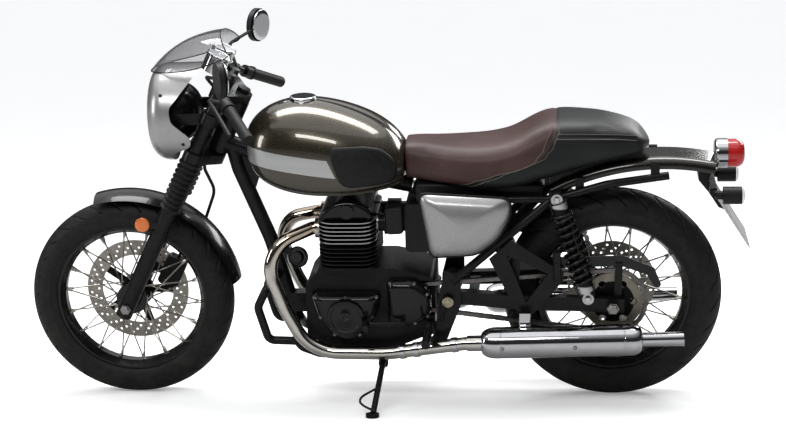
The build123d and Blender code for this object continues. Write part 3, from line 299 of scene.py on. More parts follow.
def use(tree, group, value):
    return put(tree, "Group", {0: value}, node_tree=group).outputs


def here(tree):
    return put(tree, "TexCoord").outputs["Object"]


# object coordinates turned back upright, in metres
def upright(tree):
    turn = {"Vector": here(tree), "Location": uprightMove, "Rotation": (-leanAngle, 0, 0)}
    return put(tree, "SeparateXYZ", {0: put(tree, "Mapping", turn).outputs[0]}).outputs


def math(tree, operation, a, b=0.0, c=0.0):
    return put(tree, "Math", {0: a, 1: b, 2: c}, operation=operation).outputs[0]


def product(tree, first, *others):
    for other in others:
        first = math(tree, "MULTIPLY", first, other)
    return first


# plus: value times share, and the base added
def plus(tree, value, share, base):
    return math(tree, "MULTIPLY_ADD", value, share, base)


def ranged(tree, value, low, high, toLow=0.0, toHigh=1.0):
    sockets = {0: value, 1: low, 2: high, 3: toLow, 4: toHigh}
    return put(tree, "MapRange", sockets, interpolation_type="SMOOTHSTEP").outputs[0]


# 1 where a is past b, eased over the soft width on both sides
def past(tree, a, b, soft):
    return ranged(tree, math(tree, "SUBTRACT", a, b), -soft, soft)


# 1 where the value is within the reach of the middle
def near(tree, value, middle, reach):
    return math(tree, "LESS_THAN", math(tree, "ABSOLUTE", math(tree, "SUBTRACT", value, middle)), reach)


# root of the sum of two squares
def distance(tree, a, b):
    return math(tree, "SQRT", plus(tree, a, a, math(tree, "MULTIPLY", b, b)))


def mixed(tree, factor, a, b):
    return put(tree, "Mix", {0: factor, 6: a, 7: b}, data_type="RGBA").outputs[2]


def noise(tree, vector, scale, detail, roughness=0.5):
    sockets = {"Vector": vector, "Scale": scale, "Detail": detail, "Roughness": roughness}
    return put(tree, "TexNoise", sockets).outputs


def bumped(tree, height, strength, deep):
    return put(tree, "Bump", {"Height": height, "Strength": strength, "Distance": deep}).outputs[0]


# grain: fine noise as height, noise twelve times coarser as tone
grainGroup, scale, out = newGroup("surfaceGrain", "Scale", 400.0, "Tone", "Height")
spot = here(grainGroup)
coarse = noise(grainGroup, spot, math(grainGroup, "DIVIDE", scale, 12.0), 5.0, 0.6)[0]
tone, fine = ranged(grainGroup, coarse, 0.3, 0.7), noise(grainGroup, spot, scale, 4.0)[0]
setSockets(grainGroup, out, {"Tone": tone, "Height": fine})

# dust: more towards the ground, broken up by noise
dustGroup, amount, out = newGroup("roadDust", "Amount", 0.3, "Mask")
spot = here(dustGroup)
low = ranged(dustGroup, put(dustGroup, "SeparateXYZ", {0: spot}).outputs[2], 0.5, 0.0)
patch = ranged(dustGroup, noise(dustGroup, spot, 14.0, 8.0, 0.7)[0], 0.35, 0.75)
setSockets(dustGroup, out, {"Mask": product(dustGroup, low, patch, amount)})

# flakes: small cells of random brightness under the clear coat, and a faint orange peel
flakeGroup, scale, out = newGroup("paintFlake", "Scale", 1400.0, "Flake", "Peel")
spot = here(flakeGroup)
cells = put(flakeGroup, "TexVoronoi", {"Vector": spot, "Scale": scale}).outputs["Color"]
spark = put(flakeGroup, "SeparateColor", {0: cells}).outputs[0]
flake, peel = ranged(flakeGroup, spark, 0.55, 1.0), noise(flakeGroup, spot, 260.0, 1.0)[0]
setSockets(flakeGroup, out, {"Flake": flake, "Peel": peel})

# leather: wrinkle cells as height and a slow change of tone
leatherGroup, scale, out = newGroup("leatherGrain", "Scale", 300.0, "Tone", "Height")
spot = here(leatherGroup)
warp = noise(leatherGroup, spot, 60.0, 2.0)["Color"]
bent = put(leatherGroup, "VectorMath", {0: warp, 3: 0.006}, operation="SCALE").outputs[0]
where = put(leatherGroup, "VectorMath", {0: spot, 1: bent}).outputs[0]
cells = put(leatherGroup, "TexVoronoi", {"Vector": where, "Scale": scale}, feature="DISTANCE_TO_EDGE").outputs[0]
slow = noise(leatherGroup, spot, 9.0, 6.0)[0]
wrinkle, slow = ranged(leatherGroup, cells, 0.0, 0.22), ranged(leatherGroup, slow, 0.3, 0.7)
setSockets(leatherGroup, out, {"Height": wrinkle, "Tone": slow})

# brushing: noise drawn out along X, as roughness and tone
brushGroup, scale, out = newGroup("brushMarks", "Scale", 500.0, "Streak", "Smudge")
spot = here(brushGroup)
drawn = put(brushGroup, "Mapping", {"Vector": spot, "Scale": (0.05, 1.0, 1.0)}).outputs[0]
smudge = ranged(brushGroup, noise(brushGroup, spot, 22.0, 6.0, 0.65)[0], 0.4, 0.8)
setSockets(brushGroup, out, {"Streak": noise(brushGroup, drawn, scale, 3.0)[0], "Smudge": smudge})


def newMaterial(name):
    material = bpy.data.materials.new(name)
    material.use_nodes = True
    return material, material.node_tree, material.node_tree.nodes["Principled BSDF"]


# one number stands for a grey
def rgba(colour):
    return (*(colour if isinstance(colour, tuple) else (colour, colour, colour)), 1)


def twoTone(tree, factor, look):
    return mixed(tree, factor, rgba(look["colour"]), rgba(look["second"]))


dustColour, gritColour = rgba((0.16, 0.14, 0.12)), rgba((0.2, 0.17, 0.14))
dustRough = 0.3


# coated or moulded surface: two colours mixed by tone, dust low down, roughness and bump from the grain
def coated(name, look):
    material, tree, shader = newMaterial(name)
    grain = use(tree, grainGroup, look["grain"])
    dust = use(tree, dustGroup, look["dust"])[0]
    setSockets(tree, shader, {
        "Base Color": mixed(tree, dust, twoTone(tree, grain["Tone"], look), dustColour),
        "Roughness": plus(tree, dust, dustRough, plus(tree, grain["Tone"], 0.08, look["rough"])),
        "Normal": bumped(tree, grain["Height"], look["bump"], 0.0006),
        "Specular IOR Level": look["gloss"],
        "Coat Weight": look.get("coat", 0.0),
        "Coat Roughness": 0.05,
    })
    return material


# metallic paint: flakes lift the base colour, the clear coat carries the gloss and a faint peel
def flaked(name, look):
    material, tree, shader = newMaterial(name)
    flake = use(tree, flakeGroup, 1500.0)
    dust = use(tree, dustGroup, 0.15)[0]
    colour = twoTone(tree, flake["Flake"], look)
    rough = plus(tree, flake["Flake"], 0.08, look["rough"])
    if "band" in look:
        band = look["band"](tree)
        colour = mixed(tree, band, colour, rgba(look["bandColour"]))
        rough = plus(tree, band, 0.12, rough)
    setSockets(tree, shader, {
        "Base Color": mixed(tree, dust, colour, dustColour),
        "Roughness": rough,
        "Normal": bumped(tree, flake["Peel"], 0.04, 0.0005),
        "Metallic": look["metal"],
        "Coat Weight": look["coat"],
        "Coat Roughness": 0.04,
    })
    return material


# bare or plated metal: streaks and smudges set the roughness, tone follows the smudges
def plated(name, look):
    material, tree, shader = newMaterial(name)
    brush = use(tree, brushGroup, 500.0)
    dust = use(tree, dustGroup, look.get("dust", 0.12))[0]
    colour = twoTone(tree, brush["Smudge"], look)
    if "mask" in look:
        colour = mixed(tree, look["mask"](tree), colour, rgba(look["tint"]))
    rough = plus(tree, brush["Streak"], look["spread"], look["rough"])
    setSockets(tree, shader, {
        "Base Color": mixed(tree, dust, colour, gritColour),
        "Roughness": plus(tree, dust, dustRough, plus(tree, brush["Smudge"], 0.05, rough)),
        "Normal": bumped(tree, brush["Streak"], look["bump"], 0.0003),
        "Metallic": 1.0,
    })
    return material


# clear sheet or lens: see-through face on, denser at grazing angles, where the pale lenses whiten as a painted
# reflection; ribs as bump
def clearSheet(name, look):
    material, tree, shader = newMaterial(name)
    tone = use(tree, grainGroup, 60.0)["Tone"]
    facing = put(tree, "LayerWeight", {"Blend": look["edge"]}).outputs["Facing"]
    setSockets(tree, shader, {
        "Base Color": twoTone(tree, tone, look),
        "Roughness": plus(tree, tone, 0.03, look["rough"]),
        # painted reflection: the sheet turns opaque in its own colour towards grazing angles, which whitens the pale
        # lenses
        "Alpha": ranged(tree, facing, 0.0, 1.0, look["alpha"], look["alphaEdge"]),
        "Coat Weight": look["coat"],
        "Coat Roughness": 0.02,
    })
    if "ribs" in look:
        rib = put(tree, "TexWave", {"Vector": here(tree), "Scale": look["ribs"]}, bands_direction=look["ribLine"])
        setSockets(tree, shader, {"Normal": bumped(tree, rib.outputs[1], 0.3, 0.001)})
    return material


# tank's silver band: between two sloping lines on the sides, ended by a slanted cut
def tankBand(tree):
    x, y, z = upright(tree)
    top, bottom = plus(tree, x, -0.1, 0.7855), plus(tree, x, -0.108, 0.7325)
    cut = math(tree, "SUBTRACT", plus(tree, z, -0.44, 0.2536), x)
    return product(tree, past(tree, z, bottom, 0.0006), past(tree, top, z, 0.0006), ranged(tree, cut, 0.0, 0.0012))


# fin edges: distance from the rounded outline of the fins, bright within 3 mm of it
def finEdge(tree):
    x, y, z = upright(tree)
    overhang = []
    for value, half in ((math(tree, "ADD", x, 0.0505), 0.0385), (y, 0.102)):
        over = math(tree, "SUBTRACT", math(tree, "ABSOLUTE", value), half)
        overhang.append(math(tree, "MAXIMUM", over, 0.0))
    return ranged(tree, distance(tree, *overhang), 0.0455, 0.047)


# warm tint on the pipes near the ports
def portHeat(tree):
    x, y, z = upright(tree)
    return math(tree, "MULTIPLY", ranged(tree, z, 0.42, 0.58), 0.55)


# black carrier of a disc or sprocket: nearer to the axle than the radius
def carrierOf(axleX, axleZ, radius):
    def mask(tree):
        x, y, z = upright(tree)
        far = distance(tree, math(tree, "SUBTRACT", x, axleX), math(tree, "SUBTRACT", z, axleZ))
        return ranged(tree, far, radius + 0.001, radius - 0.001)
    return mask


# bright ends of the shock absorbers, above and below the springs
def shockEnds(tree):
    x, y, z = upright(tree)
    return math(tree, "MAXIMUM", ranged(tree, z, 0.642, 0.646), ranged(tree, z, 0.404, 0.4))


# brown front of the seat: above a seam line, kept in a colour ramp, that runs from low in front to the hump's top
def brownFront(tree):
    seam = [(0.30, 0.700), (0.349, 0.721), (0.408, 0.742), (0.466, 0.757),
            (0.525, 0.784), (0.548, 0.814), (0.572, 0.868), (0.576, 0.93)]
    start, end, top, soft = 0.25, 0.60, 0.574, 0.001
    x, y, z = upright(tree)
    along = ranged(tree, x, start, end)
    along.node.interpolation_type = "LINEAR"
    ramp = put(tree, "ValToRGB", {0: along})
    stops = ramp.color_ramp.elements
    while len(stops) < len(seam):
        stops.new(0.5)
    for stop, (seamX, seamZ) in zip(stops, seam):
        stop.position = (seamX - start) / (end - start)
        stop.color = rgba(seamZ)
    level = put(tree, "SeparateColor", {0: ramp.outputs[0]}).outputs[0]
    return product(tree, past(tree, z, level, soft), past(tree, top, x, soft))


# two leathers split at the seam, with painted shade darkening the creases of the grain
def leatherCover(name):
    material, tree, shader = newMaterial(name)
    grain = use(tree, leatherGroup, 320.0)
    brown = twoTone(tree, grain["Tone"], dict(colour=(0.04, 0.0195, 0.0175), second=(0.062, 0.031, 0.028)))
    black = twoTone(tree, grain["Tone"], dict(colour=(0.0055, 0.0062, 0.0065), second=(0.009, 0.01, 0.0102)))
    # painted shade: the colour is multiplied down to 0.35 in the creases of the grain
    cover = {0: 1.0, 6: mixed(tree, brownFront(tree), black, brown), 7: plus(tree, grain["Height"], 0.35, 0.65)}
    setSockets(tree, shader, {
        "Base Color": put(tree, "Mix", cover, data_type="RGBA", blend_type="MULTIPLY").outputs[2],
        "Roughness": plus(tree, grain["Height"], -0.1, 0.44),
        "Normal": bumped(tree, grain["Height"], 0.3, 0.0006),
        "Specular IOR Level": 0.25,
        "Coat Weight": 0.04,
        "Coat Roughness": 0.3,
    })
    return material


paleBlack, deepBlack = (0.005, 0.005, 0.0055), (0.003, 0.003, 0.0035)
frontCarrier, rearCarrier = carrierOf(-0.7375, 0.315, 0.111), carrierOf(0.7375, 0.329, 0.089)
# each kind of surface: its function, its columns and a row for each look; columns left off take the function's value
surfaceTables = (
    (coated, ("colour", "second", "rough", "grain", "bump", "dust", "gloss", "coat"), {
        "tyreRubber": (0.006, (0.011, 0.011, 0.0105), 0.5, 700, 0.2, 0.06, 0.16),
        "mouldedRubber": (0.006, 0.01, 0.45, 900, 0.2, 0.06, 0.18),
        "satinBlackPaint": (0.004, 0.007, 0.26, 500, 0.05, 0.04, 0.14, 0.08),
        "glossBlackPaint": (deepBlack, paleBlack, 0.2, 260, 0.03, 0.04, 0.2, 0.3),
        "coatedCasting": (0.004, 0.008, 0.34, 1100, 0.2, 0.04, 0.12),
        "blackPlastic": (paleBlack, (0.009, 0.009, 0.0095), 0.38, 1300, 0.2, 0.05, 0.2),
        "glossCasting": (deepBlack, paleBlack, 0.14, 240, 0.05, 0.03, 0.18, 0.25),
        "plateWhite": ((0.4, 0.4, 0.39), (0.46, 0.46, 0.45), 0.35, 200, 0.05, 0.6, 0.4),
        "waxedThread": ((0.2, 0.17, 0.14), (0.28, 0.25, 0.21), 0.6, 2500, 0.3, 0.0, 0.2),
        "paleFloor": (0.8, 0.84, 0.6, 20, 0.0, 0.0, 0.2),
    }),
    (flaked, ("colour", "second", "rough", "metal", "coat", "bandColour", "band"), {
        "silverPaint": ((0.3, 0.295, 0.295), (0.46, 0.455, 0.455), 0.3, 0.75, 0.4),
        "darkPaint": ((0.008, 0.007, 0.0055), (0.03, 0.026, 0.019), 0.24, 0.6, 0.8),
        "tankPaint": ((0.042, 0.035, 0.0235), (0.064, 0.053, 0.0355), 0.24, 0.75, 1.0, 0.4, tankBand),
    }),
    (plated, ("colour", "second", "rough", "spread", "bump", "dust", "tint", "mask"), {
        "chrome": ((0.57, 0.57, 0.585), (0.5, 0.5, 0.51), 0.04, 0.04, 0.02),
        "headerChrome": (
            (0.6, 0.575, 0.53), (0.5, 0.475, 0.43), 0.06, 0.05, 0.02, 0.12, (0.44, 0.3, 0.17), portHeat),
        "polishedAlloy": (0.42, 0.34, 0.2, 0.12, 0.05),
        "brushedSteel": ((0.3, 0.29, 0.28), (0.22, 0.21, 0.2), 0.24, 0.16, 0.06),
        "oiledSteel": ((0.2, 0.19, 0.18), (0.1, 0.095, 0.09), 0.3, 0.15, 0.05, 0.3),
        "finAlloy": (0.012, 0.017, 0.26, 0.12, 0.02, 0.12, 0.36, finEdge),
        "frontDisc": ((0.36, 0.335, 0.3), (0.27, 0.25, 0.22), 0.26, 0.16, 0.06, 0.12, 0.012, frontCarrier),
        "rearDisc": ((0.33, 0.31, 0.28), (0.25, 0.23, 0.2), 0.26, 0.16, 0.06, 0.12, 0.012, rearCarrier),
        "sprocketSteel": (
            (0.24, 0.22, 0.18), (0.16, 0.15, 0.12), 0.3, 0.16, 0.06, 0.12, 0.01, carrierOf(0.7375, 0.329, 0.064)),
        "shockMetal": (0.014, 0.02, 0.2, 0.1, 0.02, 0.12, 0.5, shockEnds),
        "spokeSteel": ((0.4, 0.375, 0.34), (0.3, 0.28, 0.25), 0.2, 0.12, 0.02),
        "bronzeBolt": ((0.4, 0.36, 0.26), (0.32, 0.28, 0.2), 0.22, 0.1, 0.02),
        "mirrorGlass": ((0.82, 0.84, 0.86), (0.76, 0.78, 0.8), 0.0, 0.015, 0.0),
    }),
    (clearSheet, ("colour", "second", "rough", "alpha", "alphaEdge", "edge", "coat", "ribs", "ribLine"), {
        "smokedScreen": ((0.05, 0.045, 0.055), (0.065, 0.06, 0.07), 0.03, 0.24, 0.8, 0.3, 1.0),
        "lensGlass": ((0.75, 0.78, 0.8), (0.82, 0.85, 0.87), 0.02, 0.22, 0.85, 0.4, 1.0, 45.0, "Y"),
        "redLens": ((0.3, 0.004, 0.006), (0.38, 0.008, 0.008), 0.1, 0.96, 1.0, 0.4, 0.35, 40.0, "Z"),
        "amberLens": ((0.42, 0.09, 0.006), (0.5, 0.12, 0.012), 0.1, 0.96, 1.0, 0.4, 1.0, 120.0, "Z"),
    }),
)
looks = {"stitchedLeather": leatherCover("stitchedLeather")}
for surface, columns, rows in surfaceTables:
    looks.update({name: surface(name, dict(zip(columns, row))) for name, row in rows.items()})

slotLooks = {
    "tyre_rubber": "tyreRubber", "rubber": "mouldedRubber", "frame_black": "satinBlackPaint",
    "gloss_black": "glossBlackPaint", "engine_black": "coatedCasting", "polished": "polishedAlloy",
    "silver_paint": "silverPaint", "dark_paint": "darkPaint", "chrome": "chrome", "steel": "brushedSteel",
    "chain_steel": "oiledSteel", "black_plastic": "blackPlastic", "clear_plastic": "smokedScreen",
    "lens_glass": "lensGlass", "red_lens": "redLens", "leather": "stitchedLeather", "plate_white": "plateWhite",
}
ownLooks = {
    "fuel_tank": "tankPaint", "exhaust_headers": "headerChrome", "cylinder_block": "coatedCasting",
    "cylinder_head": "finAlloy", "cam_cover": "glossCasting", "left_engine_covers": "glossCasting",
    "right_engine_cover": "glossCasting", "front_brake_disc": "frontDisc", "rear_brake_disc": "rearDisc",
    "rear_sprocket": "sprocketSteel", "shock_absorbers": "shockMetal",
}
# slot looked up for a new piece with the look, unless it says another; makePiece works it out but doesn't give it to
# the piece
slotOf = {look: slot for slot, look in slotLooks.items()} | {
    "spokeSteel": "steel", "bronzeBolt": "steel", "glossCasting": "engine_black", "amberLens": "red_lens",
    "mirrorGlass": "chrome", "waxedThread": "leather", "dialFace": "black_plastic",
}
for part in frame["record"]["subparts"]:
    node = nodes[part["node"]]
    node.data.materials.clear()
    node.data.materials.append(looks[ownLooks.get(part["node"], slotLooks[part["material_slot"]])])

# tyres
tyreForm = {
    "front": dict(axle=(-737.5, 0, 315), outer=315, section=50, bead=233, pitch=66, depth=3.5),
    "rear": dict(axle=(737.5, 0, 329), outer=329, section=65, bead=233, pitch=74, depth=4.0),
}
treadForm = dict(
    turns=600, columns=84, slantRun=62, slantWidth=4.2, slantEase=2.2, slantStart=13, startEase=3, slantEnd=1.12,
    endEase=4, zigzag=7, zigzagWidth=3.4, zigzagEase=2.0, ribHeight=0.7, ribs=((1.75, 0.04), (1.45, 0.03)), plain=0.1,
)


# tyre: section circle swept round the axle; slanted grooves and a centre zigzag sink the tread
def tyre(kind, form, tread):
    outer, section = form["outer"], form["section"]
    reach = np.arccos((form["bead"] - outer + section) / section)
    phi = np.linspace(-reach, reach, tread["columns"])
    turn = np.linspace(0, fullTurn, tread["turns"], endpoint=False)[:, None]
    across = phi * section
    wide = np.abs(across)
    cycle = turn * round(fullTurn * outer / form["pitch"]) / fullTurn
    shift = wide / tread["slantRun"] + np.where(across > 0, 0.5, 0.0)
    slant = np.abs((cycle + shift) % 1 - 0.5) * form["pitch"]
    wave = np.abs(across - tread["zigzag"] * (2 * np.abs((cycle * 2) % 1 - 0.5) - 0.5))
    span = beyond(wide, tread["slantStart"], tread["startEase"])
    span = span * beyond(tread["slantEnd"] * section, wide, tread["endEase"])
    groove = beyond(tread["slantWidth"], slant, tread["slantEase"]) * span
    groove = np.maximum(groove, beyond(tread["zigzagWidth"], wave, tread["zigzagEase"]))
    rib = np.any([np.abs(np.abs(phi) - at) < half for at, half in tread["ribs"]], 0)
    rib = rib & (np.abs(phi) < reach - tread["plain"])
    radius = section - form["depth"] * groove + tread["ribHeight"] * rib
    out = outer - section + radius * np.cos(phi)
    points = np.stack([out * np.cos(turn), radius * np.sin(phi), out * np.sin(turn)], -1) + form["axle"]
    uv = np.stack(np.broadcast_arrays(turn * outer / 1000, across / 1000), -1)
    hoop(kind + "TyreTread", points, "tyreRubber", kind + "_wheel", uv=uv, stand=[kind + "_tyre"])


for kind, form in tyreForm.items():
    tyre(kind, form, treadForm)

# spokes
spokeForm = {
    "front": dict(axle=(-737.5, 0, 315), flange=50.2, middle=28, radius=2.3),
    "rear": dict(axle=(737.5, 0, 329), flange=60.2, middle=30, radius=2.5),
}
laceForm = dict(
    count=9, step=40, stagger=10, shift=9, rim=211, leans=((35, 5, 9), (-35, -5, 4)), nipple=20, thicker=1.6,
)


# spokes: straight runs from the hub flange to the rim, 36 in two leans; the rod thickens into a nipple at the rim
def spokes(kind, form, lace):
    starts, ends = [], []
    for order, (turn, offset, rimSide) in enumerate(lace["leans"]):
        for side in (-1, 1):
            angle = np.arange(lace["count"]) * lace["step"] + lace["stagger"] * (1 + side) + order * lace["shift"]
            hub = form["flange"] * heading(np.radians(angle))
            rim = lace["rim"] * heading(np.radians(angle) + np.radians(turn))
            starts.append(np.insert(hub, 1, side * (form["middle"] + offset), 1))
            ends.append(np.insert(rim, 1, side * rimSide, 1))
    start, end = np.concatenate(starts), np.concatenate(ends)
    length = np.linalg.norm(end[0] - start[0])
    r, thick = form["radius"], form["radius"] + lace["thicker"]
    neck = length - lace["nipple"]
    rod = [(r, 0), (r, neck), (thick, neck + 2), (thick, length - 0.5)]
    frames = framesAlong(end - start, (0.02, 0.97, 0.03))
    places, stand = start + form["axle"], [kind + "_spokes"]
    scattered(kind + "SpokeSet", rod, 8, places, frames, "spokeSteel", kind + "_wheel", stand=stand)


for kind, form in spokeForm.items():
    spokes(kind, form, laceForm)
print("tyres and spokes made")

# chain
chainForm = dict(
    rear=(737.5, 329), drive=(160, 345), rearRadius=98.65, driveRadius=38.18, y=-85, pitch=15.875, plateRadius=7.2,
    plateHalf=0.9, waist=0.22, plateSteps=20, inner=5.0, outer=7.2, pinRadius=3.0, pinHalf=9.0, pinSteps=8,
)


# chain: points at equal steps round two sprockets and their outer tangents; plates and pins set along it
def chain(form):
    a, b = np.array(form["drive"], float), np.array(form["rear"], float)
    small, large = form["driveRadius"], form["rearRadius"]
    run = b - a
    gap, slope = np.linalg.norm(run), np.arctan2(run[1], run[0])
    swing = np.arcsin((large - small) / gap)
    straight = gap * np.cos(swing)
    rearArc, driveArc = large * (np.pi + 2 * swing), small * (np.pi - 2 * swing)
    total = 2 * straight + rearArc + driveArc
    links = 2 * round(total / form["pitch"] / 2)
    s = (np.arange(links) + 0.5) * total / links
    up, low = slope + quarterTurn + swing, slope - quarterTurn - swing
    rearTurn = up - np.clip(s - straight, 0, rearArc) / large
    driveTurn = low - np.clip(s - 2 * straight - rearArc, 0, driveArc) / small
    part = np.searchsorted(np.cumsum([straight, rearArc, straight]), s)
    spot = np.choose(part[:, None], [
        a + small * heading(up) + s[:, None] * heading(slope + swing),
        b + large * heading(rearTurn),
        b + large * heading(low) - (s - straight - rearArc)[:, None] * heading(slope - swing),
        a + small * heading(driveTurn),
    ])
    ahead = unit(np.roll(spot, -1, 0) - np.roll(spot, 1, 0))
    # plate: two round ends joined by a waist
    across, along = circle(form["plateSteps"]).T[::-1]
    ends = form["pitch"] / 2 * np.sign(along) * (np.abs(along) > 0.2) + form["plateRadius"] * along
    waist = form["plateRadius"] * across * (1 - form["waist"] + form["waist"] * np.abs(along))
    plate = np.concatenate([np.stack([ends, 0 * ends + y, waist], -1) for y in (-form["plateHalf"], form["plateHalf"])])
    square = np.stack([-ahead[:, 1], 0 * s, ahead[:, 0]], -1)
    frames = np.stack([np.insert(ahead, 1, 0.0, 1), np.broadcast_to([0.0, 1.0, 0.0], square.shape), square], 1)
    offset = np.where(np.arange(links) % 2 == 0, form["inner"], form["outer"])
    plateFaces, pinFaces = cappedFaces(2, form["plateSteps"]), cappedFaces(2, form["pinSteps"])
    shapes = []
    for side in (-1, 1):
        places = np.stack([spot[:, 0], form["y"] + side * offset, spot[:, 1]], -1)
        shapes.append(copies(plate, plateFaces, places, frames))
    pin = [(form["pinRadius"], -form["pinHalf"]), (form["pinRadius"], form["pinHalf"])]
    pin = turned(pin, origin, (0, 1, 0), form["pinSteps"]).reshape(-1, 3)
    joint = np.insert((spot + np.roll(spot, -1, 0)) / 2, 1, form["y"], 1)
    shapes.append(copies(pin, pinFaces, joint, frames))
    makePiece("chainLinks", *joined(shapes), "oiledSteel", smooth=False, stand=["drive_chain"])


chain(chainForm)

# shock springs
springForm = dict(
    top=(573, 142, 669), bottom=(664, 142, 360), start=44, end=52, radius=29, wire=4.5, coils=11, steps=28, flat=0.06,
)


# spring: circle of the wire carried along a helix round the shock's line, flattened at both ends
def springs(form):
    shapes = []
    for side in (-1, 1):
        top, bottom = sided(form["top"], side), sided(form["bottom"], side)
        axis = unit(bottom - top)
        length = np.linalg.norm(bottom - top) - form["start"] - form["end"]
        t = np.linspace(0, 1, form["coils"] * form["steps"])
        climb = beyond(t, form["flat"], 1 - 2 * form["flat"])
        rise = form["start"] + form["wire"] + (length - 2 * form["wire"]) * climb
        square = unit(np.cross(axis, (0, 1, 0)))
        out = heading(fullTurn * form["coils"] * t) @ np.stack([square, np.cross(axis, square)])
        rings = wire(top + axis * rise[:, None] + form["radius"] * out, form["wire"], axis)
        shapes.append((rings.reshape(-1, 3), ringFaces(*rings.shape[:2])))
    makePiece("shockCoils", *joined(shapes), "glossBlackPaint", stand=["shock_springs"])


springs(springForm)
print("chain and springs made")

# seat: x, half width, bottom and top of each section; seams as x and z
seatForm = dict(
    sections=[(119, 72, 708, 816), (285, 128, 692, 808), (420, 142, 684, 822), (545, 138, 712, 880),
              (660, 128, 746, 884), (780, 104, 774, 862), (846, 70, 784, 822)],
    rows=220, columns=144, noseRound=12, tailRound=34, noseLeast=0.02, tailLeast=0.004, boxY=0.5, boxZ=0.6,
    grooveDepth=3.0, grooveWidth=4.5, seamTop=570, humpEnd=808, humpEase=6, humpSide=40,
    simRows=96, simColumns=72, pressure=4.0, steps=20, mostSwell=5.0, heldBelow=-0.2, averages=3,
    seam=[(300, 700), (349, 721), (408, 742), (466, 757), (525, 784), (548, 814), (568, 862), (570, 884)],
    hump=[(576, 853), (640, 852), (700, 849), (760, 844), (806, 836)],
)


def seatTable(form):
    return smoothPath(form["sections"], 16).T


# seat: section at each x is a rounded box, y = half cos^0.5, z = middle + rise sin^0.6, closed round at both ends
def seatPoint(form, x, angle):
    stations, *measures = seatTable(form)
    half, bottom, top = (np.interp(x, stations, measure) for measure in measures)
    nose = 1 - beyond(stations[0] + form["noseRound"], x, form["noseRound"]) ** 2
    tail = 1 - beyond(x, stations[-1] - form["tailRound"], form["tailRound"]) ** 2
    close = np.sqrt(np.clip(nose, form["noseLeast"], 1)) * np.sqrt(np.clip(tail, form["tailLeast"], 1))
    c, s = np.cos(angle), np.sin(angle)
    y = half * np.sign(c) * np.abs(c) ** form["boxY"] * close
    z = (top + bottom) / 2 + (top - bottom) / 2 * np.sign(s) * np.abs(s) ** form["boxZ"] * close
    return np.stack([x + 0 * angle, y, z], -1)


# angle above the horizontal at which the seat's side has height z
def seatAngle(form, x, z):
    stations, half, bottoms, tops = seatTable(form)
    bottom, top = np.interp(x, stations, bottoms), np.interp(x, stations, tops)
    share = (z - (top + bottom) / 2) / ((top - bottom) / 2)
    return np.arcsin(np.sign(share) * np.clip(np.abs(share), 0, 1) ** (1 / form["boxZ"]))


# seam's angles, never falling, and its x at each
def seamLine(form):
    x, z = np.array(form["seam"], float).T
    return np.append(np.maximum.accumulate(seatAngle(form, x, z)), quarterTurn), np.append(x, form["seamTop"])


# share of a step in x that lies square to the seam
def seamSteep(rise):
    return 0.45 + 0.55 * beyond(rise, 0.6, 0.8)


def seatGrid(form, rows, columns):
    x = np.linspace(form["sections"][0][0], form["sections"][-1][0], rows)[:, None]
    return x, np.linspace(0, fullTurn, columns, endpoint=False)[None]


# padding: a coarser cover is blown up as cloth with its underside and ends held; how far each point went, in upright
# mm, is capped, averaged with its neighbours and spread over the fine cover
def padding(form):
    rows, columns = form["simRows"], form["simColumns"]
    x, angle = seatGrid(form, rows, columns)
    points = seatPoint(form, x, angle).reshape(-1, 3)
    mesh = leanedMesh("padBlank", points, ringFaces(rows, columns))
    blank = bpy.data.objects.new("padBlank", mesh)
    scene = bpy.context.scene
    scene.collection.objects.link(blank)
    held = np.repeat(np.sin(angle) < form["heldBelow"], rows, 0)
    held[[0, -1]] = True
    blank.vertex_groups.new(name="base").add(np.flatnonzero(held).tolist(), 1.0, "REPLACE")
    cloth = blank.modifiers.new("padCloth", "CLOTH")
    cloth.settings.use_pressure = True
    cloth.settings.uniform_pressure_force = form["pressure"]
    cloth.settings.effector_weights.gravity = 0.0
    cloth.settings.vertex_group_mass = "base"
    cloth.point_cache.frame_start, cloth.point_cache.frame_end = 1, form["steps"]
    for step in range(1, form["steps"] + 1):
        scene.frame_set(step)
    done = blank.evaluated_get(bpy.context.evaluated_depsgraph_get()).to_mesh()
    end = np.zeros(len(done.vertices) * 3)
    done.vertices.foreach_get("co", end)
    scene.frame_set(1)
    bpy.data.objects.remove(blank)
    bpy.data.meshes.remove(mesh)
    gone = raised(end.reshape(-1, 3) - leaned(points)) * 1000
    far = np.linalg.norm(gone, axis=1, keepdims=True)
    gone = (gone * np.minimum(1, form["mostSwell"] / np.maximum(far, 1e-6))).reshape(rows, columns, 3)
    print("padding swelled by up to", round(float(far.max()), 1), "mm, mean", round(float(far.mean()), 2))
    for turn in range(form["averages"]):
        gone = (np.roll(gone, 1, 1) + 2 * gone + np.roll(gone, -1, 1)) / 4
        gone[1:-1] = (gone[:-2] + 2 * gone[1:-1] + gone[2:]) / 4
    rowAt = np.linspace(0, rows - 1, form["rows"])
    columnAt = np.arange(form["columns"]) * columns / form["columns"]
    rowShare = np.stack([np.interp(rowAt, np.arange(rows), e) for e in np.eye(rows)], 1)
    wrapped = np.eye(columns)[:, np.arange(columns + 1) % columns]
    columnShare = np.stack([np.interp(columnAt, np.arange(columns + 1), e) for e in wrapped], 1)
    return np.einsum("ri,cj,ijk->rck", rowShare, columnShare, gone)


